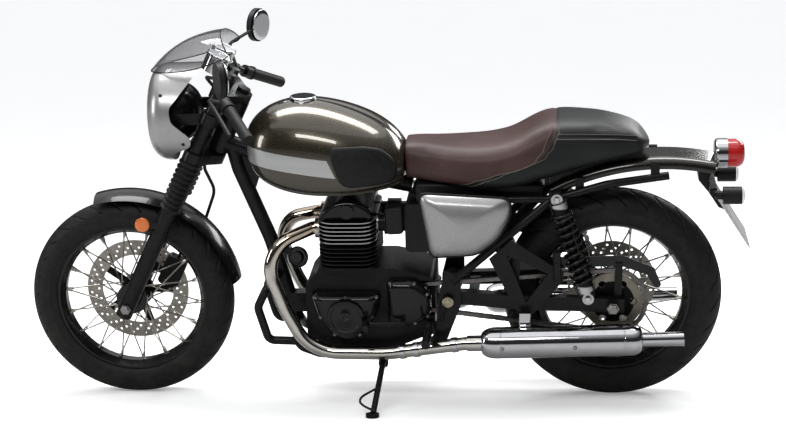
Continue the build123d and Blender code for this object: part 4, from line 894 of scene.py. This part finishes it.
# cover: the section points plus the padding, sunk along both seams by depth times exp(-(distance / width) squared)
def seat(form):
    x, angle = seatGrid(form, form["rows"], form["columns"])
    points = seatPoint(form, x, angle)
    rise = np.arcsin(np.sin(angle))
    seamRise, seamX = seamLine(form)
    off = np.abs(x - np.interp(rise, seamRise, seamX)) * seamSteep(rise)
    sink = np.exp(-((off / form["grooveWidth"]) ** 2)) * (rise > seamRise[0])
    under = points[..., 2] - np.interp(x, *np.array(form["hump"], float).T)
    inside = beyond(x, form["seamTop"], form["humpEase"]) * beyond(form["humpEnd"], x, form["humpEase"])
    inside = inside * (np.abs(points[..., 1]) > form["humpSide"])
    sink = np.maximum(sink, np.exp(-((under / form["grooveWidth"]) ** 2)) * inside)
    outward = unit((points - points.mean(1, keepdims=True)) * (0.2, 1, 1))
    points = points + padding(form) - outward * (form["grooveDepth"] * sink)[..., None]
    piece = tube("seatCover", points, "stitchedLeather", stand=["seat"])


seat(seatForm)

# stitches
stitchForm = dict(length=4.2, thick=0.75, gap=7.0, first=3.0, rows=(-6.5, 6.5))


# stitches: short six-sided rods set at even steps along both sides of each seam, on the seat's section surface, before
# the padding and the seams' sinking
def stitches(form, cover):
    seamRise, seamX = seamLine(cover)
    t = np.linspace(seamRise[0], quarterTurn, 400)
    x = np.interp(t, seamRise, seamX)
    humpX, humpZ = smoothPath(cover["hump"], 60).T
    lines = [(x + off / seamSteep(t), t) for off in form["rows"]]
    lines += [(humpX, seatAngle(cover, humpX, humpZ + off)) for off in form["rows"]]
    places, axes = [], []
    for side in (1, -1):
        for lineX, angle in lines:
            run = seatPoint(cover, lineX, angle if side > 0 else np.pi - angle)
            s = np.arange(form["first"], runLength(run)[-1], form["gap"])
            places.append(atDistance(run, s))
            axes.append(atDistance(run, s + 1) - places[-1] + 1e-6)
    thick, long = form["thick"], form["length"]
    rod = [(thick / 2, -long / 2), (thick, -long / 4), (thick, long / 4), (thick / 2, long / 2)]
    scattered("seatStitches", rod, 6, np.concatenate(places), framesAlong(np.concatenate(axes)), "waxedThread")


stitches(stitchForm, seatForm)
print("seat made")

# headlamp
lampForm = dict(height=906, face=-612, rear=-484, rim=93, lens=86, depth=44, shoulder=42)


# lamp: shell, chrome rim with a bowl behind the glass, and a bulb, all turned about the lamp's axis
def headlamp(form):
    centre, axis = (form["face"], 0, form["height"]), (1, 0, 0)
    rim, lens, depth, shoulder = form["rim"], form["lens"], form["depth"], form["shoulder"]
    long = form["rear"] - form["face"]
    t = np.linspace(0, quarterTurn, 14)
    dome = np.stack([rim * np.cos(t) ** 0.8, shoulder + (long - shoulder) * np.sin(t)], -1)
    shell = np.concatenate([[(rim - 3, 30), (rim - 1, 40)], dome[:-1], [(2, long - 0.2)]])
    spun("headlampShell", shell, centre, axis, 64, "glossBlackPaint", "steering", stand=["headlamp_shell"])
    u = np.linspace(0, 1, 12)
    bowl = np.stack([lens * np.sqrt(1 - u * 0.96), 3 + depth * u - 10], -1)
    edge = [(rim - 4, 30), (rim, 26), (rim, 4), (rim - 2, 0), (lens + 1, -1)]
    ring = np.concatenate([edge, bowl, [(6, depth - 2), (20, depth)]])
    hoop("headlampRim", turned(ring, centre, axis, 64), "chrome", "steering")
    bulb = [(1, -2), (6, 0), (9, 8), (9, 22), (6, 34), (3, 40)]
    spun("headlampBulb", bulb, centre, axis, 20, "lensGlass", "steering")


headlamp(lampForm)

# mirrors
mirrorForm = dict(centre=(-357, 352, 1088), facing=(0.92, -0.38, 0), radius=52, depth=16)


# glass: a shallow cap turned about the mirror's axis, standing on its face
def mirrorGlass(form):
    r = form["radius"]
    profile = [(r - 4, -2), (r - 4, 0.6), (r - 5, 1.0), (r * 0.5, 1.3), (1, 1.4)]
    for name, side in bothSides:
        facing = unit(sided(form["facing"], side))
        centre = sided(form["centre"], side) + facing * form["depth"] / 2
        spun(name + "MirrorGlass", profile, centre, facing, 48, "mirrorGlass", "steering")


mirrorGlass(mirrorForm)

# windscreen
screenForm = dict(
    base=[(-388, -116, 1092), (-483, -105, 1059), (-570, -76, 1043), (-622, -36, 1036), (-630, 0, 1036)],
    free=[(-379, -114, 1101), (-386, -106, 1113), (-398, -86, 1130), (-410, -46, 1146), (-415, 0, 1150)],
    bulge=27, lift=(-0.46, 0, 0.89), thick=2.5, rows=26, columns=49, edge=1.7,
)


# screen: straight runs from the base edge to the free edge, bulged by sin(pi t) (1 - v squared), with a wall
def windscreen(form):
    edges = []
    for half in (np.array(form["base"], float), np.array(form["free"], float)):
        line = smoothPath(np.concatenate([half, half[-2::-1] * (1, -1, 1)]))
        edges.append(atDistance(line, np.linspace(0, runLength(line)[-1], form["columns"])))
    t = np.linspace(0, 1, form["rows"])[:, None, None]
    v = np.linspace(-1, 1, form["columns"])[None, :, None]
    swell = form["bulge"] * np.sin(np.pi * t) ** 0.8 * (1 - v**2)
    outer = (1 - t) * edges[0] + t * edges[1] + swell * np.array(form["lift"])
    normal = unit(np.cross(np.gradient(outer, axis=0), np.gradient(outer, axis=1)))
    inner = outer - form["thick"] * normal * np.sign(normal[..., 2:])
    sheet("screenDome", outer, inner, "smokedScreen", "steering", stand=["windscreen"])
    ring = np.concatenate([edges[0], edges[1][::-1]])
    trim = carried(ring, form["edge"] * circle(8), (0.12, 0.3, 0.95), closed=True)
    hoop("screenTrim", trim, "mouldedRubber", "steering")


windscreen(screenForm)

# instruments
dialForm = dict(base=(-440, 48, 1040), axis=(0.45, 0, 0.893), radius=36, depth=54, ticks=44, steps=72)


# dial face: pale ticks at even steps round, in a band near the edge, left out at the bottom
def dialFace(name, ticks):
    material, tree, shader = newMaterial(name)
    around, out, depth = put(tree, "SeparateXYZ", {0: put(tree, "TexCoord").outputs["UV"]}).outputs
    beat = math(tree, "FRACT", math(tree, "MULTIPLY", around, float(ticks)))
    mark = product(tree, near(tree, beat, 0.5, 0.09), near(tree, out, 0.855, 0.075), near(tree, around, 0.5, 0.38))
    setSockets(tree, shader, {
        "Base Color": mixed(tree, mark, rgba((0.012, 0.012, 0.014)), rgba((0.75, 0.75, 0.7))),
        "Roughness": plus(tree, use(tree, grainGroup, 900.0)["Tone"], 0.1, 0.4),
    })
    return material


# dial: flat disc whose UV runs round and outwards; bezel and glass turned about the pod's axis
def dials(form):
    looks["dialFace"] = dialFace("dialFace", form["ticks"])
    axis, r = unit(form["axis"]), form["radius"]
    face = r - 3
    rings = np.array([(face, -1.5), (face, 0.6), (1, 0.7)])
    around = np.linspace(0, 1, form["steps"], endpoint=False)[None]
    uv = np.stack(np.broadcast_arrays(around, rings[:, :1] / face), -1)
    bezel = (r - 1.5, -3) + circle(12) * (3.2, 5)
    u = np.linspace(0, quarterTurn, 8)
    cap = np.stack([face * np.cos(u * 0.97), 1.0 + 2.5 * np.sin(u)], -1)
    for name, side in bothSides:
        top = sided(form["base"], side) + axis * form["depth"]
        spun(name + "Dial", rings, top, axis, form["steps"], "dialFace", "steering", smooth=False, uv=uv)
        hoop(name + "Bezel", turned(bezel, top, axis, 64), "chrome", "steering")
        spun(name + "DialGlass", cap, top, axis, 48, "lensGlass", "steering")


dials(dialForm)
print("lamp, mirrors and dials made")


# hexagon heads: six-sided turned form with a washer and a bevelled top, copied to each place along its axis
def hexHeads(name, places, axis, radius, height, look, body="chassis", slot=None):
    washer, foot = radius * 1.25, 0.2 * height
    profile = [(washer, 0), (washer, foot), (radius, foot), (radius, 0.85 * height), (radius * 0.86, height)]
    axes = np.broadcast_to(np.array(axis, float), (len(places), 3))
    scattered(name, profile, 6, places, framesAlong(axes), look, body, slot=slot, smooth=False)


# shares of an outline from its middle to its edge, with the wall's height at each: flat, then a quarter circle
def eased(first, edge, steps):
    t = np.linspace(0, quarterTurn, steps)
    start = 1 - edge
    share = np.concatenate([np.linspace(first, start, 14, endpoint=False), start + edge * np.sin(t)])
    return share, np.concatenate([np.ones(14), np.cos(t)])


# panel: outline shrunk towards its centre by s; depth = base + crown (1 - s squared) + wall, rounded off near the edge
def panel(name, form, side, look, stand=()):
    flat = roundedOutline(form["outline"], form["setback"], 20)
    s, wall = eased(0.01, form["edge"], 22)
    depth = form["base"] + form["crown"] * (1 - s**2) + form["wall"] * wall
    centre = np.array(form["centre"], float)
    spread = centre + s[:, None, None] * (flat - centre)
    y = np.broadcast_to(side * depth[:, None], spread.shape[:2])
    tube(name, np.stack([spread[..., 0], y, spread[..., 1]], -1), look, stand=stand)


coverOutline = [(168, 690), (436, 674), (438, 622), (398, 545), (334, 500), (200, 492)]
panelForm = dict(
    sideCover=dict(outline=coverOutline, centre=(300, 592), setback=30, base=150, wall=16, crown=26, edge=0.28),
    alternatorCover=dict(
        outline=[(-172, 372), (48, 372), (32, 292), (-14, 232), (-60, 214), (-106, 232), (-152, 292)],
        centre=(-60, 306), setback=26, base=104, wall=45, crown=5, edge=0.3),
    sprocketCover=dict(
        outline=[(62, 412), (150, 412), (196, 372), (196, 290), (150, 262), (62, 262)],
        centre=(124, 338), setback=26, base=104, wall=32, crown=6, edge=0.34),
    throttleBox=dict(
        outline=[(60, 636), (118, 640), (118, 546), (64, 544)],
        centre=(90, 592), setback=14, base=78, wall=36, crown=4, edge=0.2),
)
panel("leftSidePanel", panelForm["sideCover"], -1, "silverPaint", ["side_covers"])
panel("rightSidePanel", panelForm["sideCover"], 1, "silverPaint")
panel("alternatorCover", panelForm["alternatorCover"], -1, "glossCasting", ["left_engine_covers"])
panel("sprocketCover", panelForm["sprocketCover"], -1, "glossCasting")
panel("throttleBox", panelForm["throttleBox"], -1, "blackPlastic")
discForm = dict(centre=(-60, 0, 304), profile=[
    (56, 136), (56, 161), (54, 165), (49, 167), (46, 166.6), (44, 164),
    (20, 164.5), (18, 166), (8, 166), (6, 164), (1, 164)])
spun("alternatorDisc", discForm["profile"], discForm["centre"], (0, -1, 0), 64, "glossCasting")
print("covers made")

# cover bolts: x and z of each, sunk a little into the left covers
boltForm = dict(
    leftCover=[(-154, 360), (-60, 360), (32, 360), (18, 298), (-22, 240), (-98, 240), (-138, 298)],
    sprocketCover=[(74, 400), (146, 400), (184, 366), (184, 296), (146, 274), (74, 274)],
    rightCover=[(-146, 358), (0, 366), (136, 376), (152, 272), (90, 222), (-90, 222), (-136, 276)],
    sunk=4, rightFace=150.5, radius=5, leftHeight=8, rightHeight=5,
)
for name, cover in (("leftCover", "alternatorCover"), ("sprocketCover", "sprocketCover")):
    places = np.array([touch(cover, x, z, -1)[0] for x, z in boltForm[name]]) + (0, boltForm["sunk"], 0)
    hexHeads(name + "Bolts", places, (0, -1, 0), boltForm["radius"], boltForm["leftHeight"], "oiledSteel", slot="steel")
places = np.insert(np.array(boltForm["rightCover"], float), 1, boltForm["rightFace"], 1)
hexHeads("rightCoverBolts", places, (0, 1, 0), boltForm["radius"], boltForm["rightHeight"], "brushedSteel")


# cross-section of a flat strap
def strapEdge(thick, wide):
    return [(-thick, -wide), (thick, -wide), (thick, wide), (-thick, wide)]


# slider reflectors, each on a tab that starts inside the slider
reflectorForm = dict(spot=(-668, 117, 585), radius=22, tab=[(-606, 114, 576), (-630, 117, 580), (-668, 116, 585)])
for name, side in bothSides:
    r = reflectorForm["radius"]
    profile = [(r, 0), (r, 6), (r - 1.5, 7.5), (r * 0.6, 8.5), (1, 8.8)]
    spun(name + "Reflector", profile, sided(reflectorForm["spot"], side), (0, side, 0), 36, "amberLens", "steering")
    tab = carried(smoothPath(sided(reflectorForm["tab"], side), 8), strapEdge(2, 9), (0.15, 0, 0.99))
    tube(name + "ReflectorTab", tab, "satinBlackPaint", "steering", smooth=False)
print("bolts and reflectors made")

# axle and shock nuts: node, x and z, radius, height, look and body
nutForm = dict(
    frontAxleNuts=("fork_sliders", (-737.5, 315), 13, 10, "brushedSteel", "steering"),
    rearAxleNuts=("swingarm", (737.5, 329), 15, 11, "brushedSteel", "chassis"),
    shockTopNuts=("main_frame", (573, 669), 9, 8, "chrome", "chassis"),
    shockFootNuts=("swingarm", (664, 360), 9, 8, "chrome", "chassis"),
)
for name, (node, spot, *rest) in nutForm.items():
    places = np.array([touch(node, *spot, side)[0] for side in (-1, 1)])
    hexHeads(name, places, [(0, -1, 0), (0, 1, 0)], *rest)

# pivot caps
capForm = dict(spot=(247, 346), profile=[
    (17, -0.5), (17, 1.5), (15, 2.5), (11, 2.8), (10, 6.0), (6.5, 6.4), (6, 3.0), (1, 2.8)])
for name, side in bothSides:
    spot = touch("swingarm", *capForm["spot"], side)[0]
    spun(name + "PivotCap", capForm["profile"], spot, (0, side, 0), 36, "bronzeBolt")

# tank's lower lip
lipForm = dict(
    bottoms=[(-345, 768), (-285, 712), (-180, 684), (-50, 682), (60, 692), (122, 704)],
    front=-322, rear=108, lift=10, oval=(6, 2.2), steps=48,
)


# lip: flat oval carried along the tank's side a little above its bottom
def tankLip(form):
    x = np.linspace(form["front"], form["rear"], form["steps"])
    z = np.interp(x, *smoothPath(form["bottoms"], 16).T) + form["lift"]
    for name, side in bothSides:
        path = np.array([touch("fuel_tank", a, b, side)[0] for a, b in zip(x, z)])
        tube(name + "TankLip", carried(path, circle(14) * form["oval"], upAxis), "darkPaint")


tankLip(lipForm)

# knee pads
padForm = dict(
    outline=[(-88, 834), (10, 832), (58, 820), (90, 792), (108, 758),
             (100, 722), (60, 712), (-38, 708), (-62, 724), (-84, 790)],
    centre=(14, 770), setback=16, thick=7, edge=0.16, sunk=0.6, shares=(0.02, 0.25, 0.5, 0.7, 0.85, 0.94, 1.0),
)


# pad: outline shrunk towards its centre by s and laid on the tank's side; its thickness is rounded off near the edge
def kneePads(form):
    flat = roundedOutline(form["outline"], form["setback"])
    centre, coarse = np.array(form["centre"], float), np.array(form["shares"])
    spots = (centre + coarse[:, None, None] * (flat - centre)).reshape(-1, 2)
    s, wall = eased(0.02, form["edge"], 14)
    blend = np.stack([np.interp(s, coarse, row) for row in np.eye(len(coarse))], 1)
    rise = form["thick"] * wall - form["sunk"]
    for name, side in bothSides:
        met = np.array([touch("fuel_tank", x, z, side) for x, z in spots])
        met = met.reshape(len(coarse), len(flat), 2, 3)
        place, outward = (np.einsum("ij,jkl->ikl", blend, met[:, :, i]) for i in (0, 1))
        points = place + rise[:, None, None] * unit(outward)
        tube(name + "KneePad", points, "mouldedRubber", stand=["knee_pads"] if side < 0 else ())


kneePads(padForm)

# tray under the seat, on the airbox: x, half width and half height of each station
trayForm = dict(
    stations=[(150, 66, 20), (156, 80, 29), (168, 84, 32), (322, 84, 32),
              (332, 80, 27), (520, 80, 27), (532, 76, 23), (538, 62, 14)],
    height=668, setback=0.3,
)


# tray: rounded square scaled to each station's half width and half height
def seatTray(form):
    x, half, high = np.array(form["stations"], float).T[:, :, None]
    across, up = roundedOutline([(-1, -1), (1, -1), (1, 1), (-1, 1)], form["setback"], 6).T
    tube("seatTray", np.stack(np.broadcast_arrays(x, half * across, form["height"] + high * up), -1), "blackPlastic")


seatTray(trayForm)

# splash guard before the rear wheel
guardForm = dict(
    axle=(737.5, 0, 329), top=117.5, low=151, topRadius=401, lowRadius=368,
    half=70, thick=3, dish=14, rows=30, columns=22,
)


# guard: arc about the axle whose radius eases from the fender's edge to the tyre's, dished across, with a wall
def splashGuard(form):
    t = np.linspace(0, 1, form["rows"])[:, None]
    v = np.linspace(-1, 1, form["columns"])[None]
    angle = np.radians(form["top"] + (form["low"] - form["top"]) * t)
    radius = form["topRadius"] + (form["lowRadius"] - form["topRadius"]) * np.sin(t * quarterTurn)
    layers = []
    for lift in (0, form["thick"]):
        reach = radius + lift - form["dish"] * np.abs(v) ** 4
        layer = np.stack([reach * np.cos(angle), form["half"] * v + 0 * t, reach * np.sin(angle)], -1)
        layers.append(layer + form["axle"])
    sheet("splashGuard", *layers, "blackPlastic")


splashGuard(guardForm)

# painted shade: a black bead round the side covers, where their edge has only shade; a circle carried round the cover's
# rounded outline
shadeBeadForm = dict(outline=coverOutline, side=151.5, radius=4.5, setback=22)
for name, side in bothSides:
    path = np.insert(roundedOutline(shadeBeadForm["outline"], shadeBeadForm["setback"]), 1, side * shadeBeadForm["side"], 1)
    hoop(name + "CoverBead", carried(path, shadeBeadForm["radius"] * circle(12), (0, 1, 0), closed=True), "mouldedRubber")

# clamps on the pipes
clampForm = dict(start=(64, 158, 188), end=(299, 190, 232.8), stations=(110, 152, 268), inner=20.2, outer=23.2, half=9)


# clamps: a flat band turned about the pipe's run at each station
def pipeClamps(form):
    inner, outer, half = form["inner"], form["outer"], form["half"]
    edge = [(inner, half), (outer - 0.8, half), (outer, half - 1)]
    band = [(r, -y) for r, y in edge] + edge[::-1]
    faces = gridFaces(len(band), 40, True, True).tolist()
    for name, side in bothSides:
        start, end = sided(form["start"], side), sided(form["end"], side)
        run = end - start
        shapes = []
        for x in form["stations"]:
            shapes.append((turned(band, start + run * (x - start[0]) / run[0], run, 40).reshape(-1, 3), faces))
        makePiece(name + "PipeClamps", *joined(shapes), "chrome")


pipeClamps(clampForm)

# silencers
silencerForm = dict(
    start=(345, 190, 234), end=(945, 190, 250), radius=47.5, inlet=24, tail=21.5, wall=2.5, nose=46,
    shoulder=444, cone=478, seams=(60, 424), bore=90, tab=(477, 167.5, 262), tabHeights=(0, 20, 40, 60), tabHalf=(7.5, 17),
    bolts=[(410, 237, 234), (625, 237, 239)],
)


# silencer: quarter ellipse at the nose, straight body, cone and open tail pipe, turned about its run
def silencer(form):
    t = np.linspace(0, quarterTurn, 14)
    r, tail, inlet, shoulder = form["radius"], form["tail"], form["inlet"], form["shoulder"]
    long = np.linalg.norm(np.subtract(form["end"], form["start"]))
    nose = np.stack([inlet + (r - inlet) * np.sin(t), 2 + form["nose"] * (1 - np.cos(t))], -1)
    cone = np.stack([tail + 3 + (r - tail - 3) * np.cos(t), shoulder + (form["cone"] - shoulder) * np.sin(t)], -1)
    seams = [(r - sink, at + step) for at in form["seams"] for sink, step in ((0, 0), (0.8, 1), (0.8, 3), (0, 4))]
    bore, floor = tail - form["wall"], long - form["bore"]
    pipe = [(tail, form["cone"] + 2), (tail, long - 1), (tail - 1, long), (bore, long), (bore, floor), (1, floor)]
    profile = np.concatenate([[(inlet, 0)], nose, seams, cone, pipe])
    tabEdge = roundedOutline(strapEdge(*form["tabHalf"]), 4, 4)
    for name, side in bothSides:
        start, end = sided(form["start"], side), sided(form["end"], side)
        stand = ["silencers"] if side < 0 else ()
        spun(name + "Silencer", profile, start, end - start, 72, "chrome", stand=stand)
        tab = sided(form["tab"], side) + np.outer(form["tabHeights"], upAxis)
        tube(name + "SilencerTab", carried(tab, tabEdge, (1, 0, 0)), "chrome")
        hexHeads(name + "SilencerBolts", sided(form["bolts"], side), (0, side, 0), 6, 5, "brushedSteel")


silencer(silencerForm)

# toe loop on the stand
toeForm = dict(
    points=[(37, -219, 102), (18, -238, 98), (-8, -262, 90), (-12, -280, 80), (6, -292, 70), (28, -296, 62)],
    radius=3.6,
)
toeLoop = wire(smoothPath(toeForm["points"], 10), toeForm["radius"], (0.2, 0.5, 0.84))
tube("standToeLoop", toeLoop, "satinBlackPaint", "side_stand")

# rear indicator lenses
lensForm = dict(centre=(1110, 112, 668), profile=[(25, -6), (25, 0), (22, 5), (13, 8), (1, 9)])
for name, side in bothSides:
    spun(name + "IndicatorLens", lensForm["profile"], sided(lensForm["centre"], side), (1, 0, 0), 36, "lensGlass")

# horn, on a strap that starts inside the downtube
hornForm = dict(
    centre=(-214, -20, 448), axis=(-0.35, -0.9, 0.1), radius=33,
    profile=((0.5, -12), (0.9, -8), (1.0, 0), (1.0, 6), (0.92, 8),
             (0.86, 5), (0.6, 4), (0.52, 9), (0.3, 10), (0.03, 8)),
    strap=[(-287, -14, 474), (-262, -17, 472), (-236, -14, 460), (-212, -10, 447)],
)
hornProfile = np.array(hornForm["profile"]) * (hornForm["radius"], 1)
spun("hornDish", hornProfile, hornForm["centre"], hornForm["axis"], 44, "glossBlackPaint")
strap = carried(smoothPath(hornForm["strap"], 8), strapEdge(2, 10), (0.2, 0, 0.98))
tube("hornStrap", strap, "satinBlackPaint", smooth=False)

# cowl studs: small domes turned about the cowl's own direction where each line meets it
studForm = dict(spots=[(-585, 985), (-525, 838)], radius=5.5, profile=((1, -1), (1, 1), (0.8, 2.4), (0.3, 3)))
met = np.array([touch("cowl", x, z, side) for x, z in studForm["spots"] for side in (-1, 1)])
studProfile = np.array(studForm["profile"]) * (studForm["radius"], 1)
scattered("cowlStuds", studProfile, 12, met[:, 0], framesAlong(met[:, 1]), "mouldedRubber", "steering")
print("trim and fittings made")

# camera at the photograph's angle, for an image of 786 by 427
cameraForm = dict(azimuth=5.17, elevation=9.11, roll=-1.01, distance=6.0, target=(0.0696, 0.0, 0.5574), lens=89.38)
az, el, roll = (np.radians(cameraForm[k]) for k in ("azimuth", "elevation", "roll"))
back = np.array([np.sin(az) * np.cos(el), -np.cos(az) * np.cos(el), np.sin(el)])
eye = np.array(cameraForm["target"]) + back * cameraForm["distance"] + leanShift
right = unit(np.cross(-back, upAxis))
over = np.cross(right, -back)
turnedRight = np.cos(roll) * right + np.sin(roll) * over
turnedUp = -np.sin(roll) * right + np.cos(roll) * over
scene = bpy.context.scene
camera = bpy.data.objects.new("camera", bpy.data.cameras.new("camera"))
camera.data.lens = cameraForm["lens"]
camera.data.sensor_width = 36.0
camera.matrix_world = Matrix([*np.stack([turnedRight, turnedUp, back, eye], 1).tolist(), [0, 0, 0, 1]])
scene.collection.objects.link(camera)
scene.camera = camera

# pale floor; a little of its own light towards the camera keeps it near white, and shiny parts see a darker floor
floorForm = dict(half=60, tone=0.95, glossyTone=0.42, lift=0.25)
half = floorForm["half"]
floorMesh = bpy.data.meshes.new("floor")
floorMesh.from_pydata([(-half, -half, 0), (half, -half, 0), (half, half, 0), (-half, half, 0)], [], [(0, 1, 2, 3)])
floor = bpy.data.objects.new("floor", floorMesh)
scene.collection.objects.link(floor)
floorTree = looks["paleFloor"].node_tree
path = put(floorTree, "LightPath").outputs
setSockets(floorTree, floorTree.nodes["Principled BSDF"], {
    "Base Color": mixed(floorTree, path["Is Glossy Ray"], rgba(floorForm["tone"]), rgba(floorForm["glossyTone"])),
    "Emission Color": rgba(1),
    "Emission Strength": math(floorTree, "MULTIPLY", path["Is Camera Ray"], floorForm["lift"]),
})
floorMesh.materials.append(looks["paleFloor"])

# soft boxes round the machine: place, aim, size and power
lightForm = {
    "topBox": dict(at=(0.0, 0.5, 3.2), aim=(0, 0.1, 0.4), size=(3.6, 0.9), power=110),
    "nearBox": dict(at=(-1.0, -3.4, 3.0), aim=(0, 0, 0.5), size=(2.8, 0.5), power=70),
    "frontBox": dict(at=(-4.0, -1.2, 1.6), aim=(-0.3, 0, 0.6), size=(0.6, 1.6), power=35),
    "backBox": dict(at=(2.6, 3.0, 2.4), aim=(0.2, 0, 0.6), size=(2.4, 0.8), power=60),
}
for name, form in lightForm.items():
    lamp = bpy.data.lights.new(name, "AREA")
    lamp.shape = "RECTANGLE"
    lamp.size, lamp.size_y = form["size"]
    lamp.energy = form["power"]
    holder = bpy.data.objects.new(name, lamp)
    holder.location = form["at"]
    holder.rotation_euler = (Vector(form["aim"]) - Vector(form["at"])).to_track_quat("-Z", "Y").to_euler()
    scene.collection.objects.link(holder)

# broad soft light from above, and a world that brightens towards the top
skyForm = dict(
    power=1.3, spread=100, tilt=(-12, -6, 0), colour=(0.95, 0.97, 1.0), rise=(0.3, 0.9), strength=(0.03, 0.6),
)
dome = bpy.data.lights.new("skyDome", "SUN")
dome.energy = skyForm["power"]
dome.angle = np.radians(skyForm["spread"])
domeHolder = bpy.data.objects.new("skyDome", dome)
domeHolder.rotation_euler = np.radians(skyForm["tilt"])
scene.collection.objects.link(domeHolder)
world = bpy.data.worlds.new("studio")
world.use_nodes = True
sky = world.node_tree
rise = put(sky, "SeparateXYZ", {0: put(sky, "TexCoord").outputs["Generated"]}).outputs[2]
strength = ranged(sky, rise, *skyForm["rise"], *skyForm["strength"])
setSockets(sky, sky.nodes["Background"], {"Strength": strength, "Color": rgba(skyForm["colour"])})
scene.world = world
scene.view_settings.view_transform = "Standard"  # plain tones, as a camera gives
print("camera, floor and lights set")
